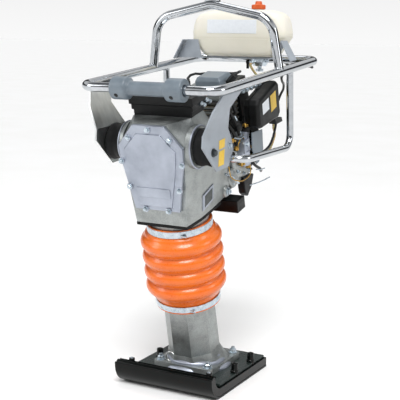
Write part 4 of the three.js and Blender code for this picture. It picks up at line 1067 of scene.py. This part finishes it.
def dress_tank():
    # height, half lengths to the left and right, front, back and corner radius of each level section
    rows = [
        (872.2, 102, 102, 240, 304, 20), (873.5, 108, 107, 235, 308, 22), (878, 113, 112, 231, 310, 24),
        (886, 120, 117, 229.5, 311.5, 24), (905, 136, 128, 229, 317, 24), (916, 144, 135, 228.6, 320, 24),
        (919.5, 146, 137, 228.4, 321, 24), (921, 146.6, 138, 228.2, 321.4, 24),
        (921.4, 146.8, 138.4, 229, 321.6, 26), (923, 147.2, 140, 228.4, 321.8, 28),
        (927, 148, 144.5, 228.2, 322, 30), (940, 149, 143.5, 228.2, 322, 30),
        (960, 146, 140.5, 228.3, 321.6, 30), (975, 140, 137, 228.8, 320.6, 30),
        (984, 134, 132.5, 230.2, 318.6, 30),
        (991, 126, 126, 232.8, 315.4, 30), (996.5, 110, 116, 237, 310.6, 30), (1000, 97, 103, 243, 304, 28),
        (1002.2, 80, 84, 252, 296, 20), (1003, 60, 60, 262, 288, 12),
    ]
    shell = loft([rounded_rectangle(-left, right, y0, y1, r, z) for z, left, right, y0, y1, r in rows])
    neck = turned([(0.2, 999), (17, 999), (17, 1003.6), (16.4, 1004), (0.2, 1004)], "Z", CAP_AXIS, 40)
    shape = mesh_of(joined(shell, neck), GROUND)
    piece("tank_shell", shape, TANK, "handle", ("fuel_tank",), smooth=60)
    label = prism([(-92, 936), (62, 936), (62, 974), (-92, 974)], "Y", 227.4, 228.6)
    eased(piece("tank_blank_label", mesh_of(label, GROUND), WHITE_LABEL, "handle"), 0.4)
    knob = [(0.2, 1004.5), (19, 1004.5), (19, 1017), (10.5, 1018), (8.5, 1027), (0.2, 1027)]
    cap = turned(rounded(knob, 2, 5), "Z", CAP_AXIS, 64)
    piece("fuel_cap_body", mesh_of(cap, GROUND), CAP, "cap", ("fuel_cap",), smooth=45)
    grown(
        "fuel_cap_grips", RIB_RING, [((0, 0, 0), UP)],
        {"Count": 26, "Ring Radius": 18.9, "Rib Depth": 1.9, "Rib Width": 2.0, "Rib Height": 10.5},
        CAP, "cap", GROUND @ Matrix.Translation(Vector(CAP_AXIS) + Vector((0, 0, 1010.6))),
    )
    skin("tank_cradle", PLATE, 0.7, "handle", 2, 40)
    skin("fuel_cock", ZINC, 1.0, "handle", 2)
    skin("cock_lever", ABS, 0.8, "cock_lever", 2)


def dress_controls():
    skin("throttle_bracket", ABS, 1.2, "handle", 2)
    skin("throttle_lever", ABS, 0.8, "throttle", 2)


# ---- stage ----
def set_camera():
    """A long lens a little above the handle, off the machine's right front corner."""
    azimuth, elevation, roll = math.radians(27.8255), math.radians(9.3977), math.radians(0.963)
    level = Vector((math.sin(azimuth), -math.cos(azimuth), 0))
    back = level * math.cos(elevation) + Vector((0, 0, math.sin(elevation)))
    right = Vector((math.cos(azimuth), math.sin(azimuth), 0))
    up = back.cross(right)
    right, up = math.cos(roll) * right + math.sin(roll) * up, -math.sin(roll) * right + math.cos(roll) * up
    data = bpy.data.cameras.new("studio_camera")
    data.lens = 86.82
    data.sensor_width = 36
    camera = bpy.data.objects.new("studio_camera", data)
    bpy.context.scene.collection.objects.link(camera)
    place = Vector((0.014467, 0, 0.493284)) + back * 2.5832
    camera.matrix_world = Matrix.Translation(place) @ Matrix((right, up, back)).transposed().to_4x4()
    bpy.context.scene.camera = camera


def add_light(name, kind, energy, place, target, size=1.0, angle=0.0):
    data = bpy.data.lights.new(name, kind)
    data.energy = energy
    if kind == "AREA":
        data.shape = "RECTANGLE"
        data.size, data.size_y = size, size * 1.4
    else:
        data.angle = angle
    light = bpy.data.objects.new(name, data)
    bpy.context.scene.collection.objects.link(light)
    facing = (Vector(place) - Vector(target)).to_track_quat("Z", "Y").to_matrix().to_4x4()
    light.matrix_world = Matrix.Translation(place) @ facing


def set_studio():
    floor = bpy.data.meshes.new("studio_floor")
    reach = 400
    corners = [(-reach, -reach, 0), (reach, -reach, 0), (reach, reach, 0), (-reach, reach, 0)]
    floor.from_pydata(corners, [], [(0, 1, 2, 3)])
    floor.materials.append(FLOOR)
    ground = bpy.data.objects.new("studio_floor", floor)
    bpy.context.scene.collection.objects.link(ground)

    world = bpy.data.worlds.new("studio")
    world.use_nodes = True
    tree = world.node_tree
    tree.nodes.clear()
    direction = add(tree, "ShaderNodeTexCoord").outputs["Generated"]
    height = add(tree, "ShaderNodeSeparateXYZ", inputs={"Vector": direction}).outputs["Z"]
    sky = add(tree, "ShaderNodeValToRGB", inputs={"Fac": height})
    low = [(0.0, "ffffff"), (0.05, "f8f8f8"), (0.1, "26282a"), (0.3, "3c3e40")]
    set_stops(sky, *low, (0.4, "f4f4f4"), (0.62, "dcdcdc"), (0.8, "6c6e70"))
    glow = add(tree, "ShaderNodeBackground", inputs={"Color": sky.outputs["Color"], "Strength": 0.95})
    add(tree, "ShaderNodeOutputWorld", inputs={"Surface": glow.outputs[0]})
    bpy.context.scene.world = world
    middle = (0, 0, 0.5)
    add_light("key_sun", "SUN", 2.5, (1.4, -2.6, 4.6), middle, angle=math.radians(30))
    add_light("left_softbox", "AREA", 17, (-2.3, -1.9, 1.7), middle, 1.0)
    add_light("right_softbox", "AREA", 10, (2.6, 0.3, 1.6), middle, 0.8)
    add_light("top_softbox", "AREA", 12, (-0.3, 0.5, 2.8), middle, 1.2)


set_camera()
set_studio()
dress_shoe()
dress_leg()
dress_bellows()
dress_inside()
dress_gear_case()
dress_mounts()
dress_engine()
dress_starter()
dress_engine_fittings()
dress_air_cleaner()
dress_hoses()
dress_tubes()
dress_side_plates()
dress_labels()
dress_roller()
dress_tank()
dress_controls()

bpy.context.scene.view_settings.view_transform = "Standard"
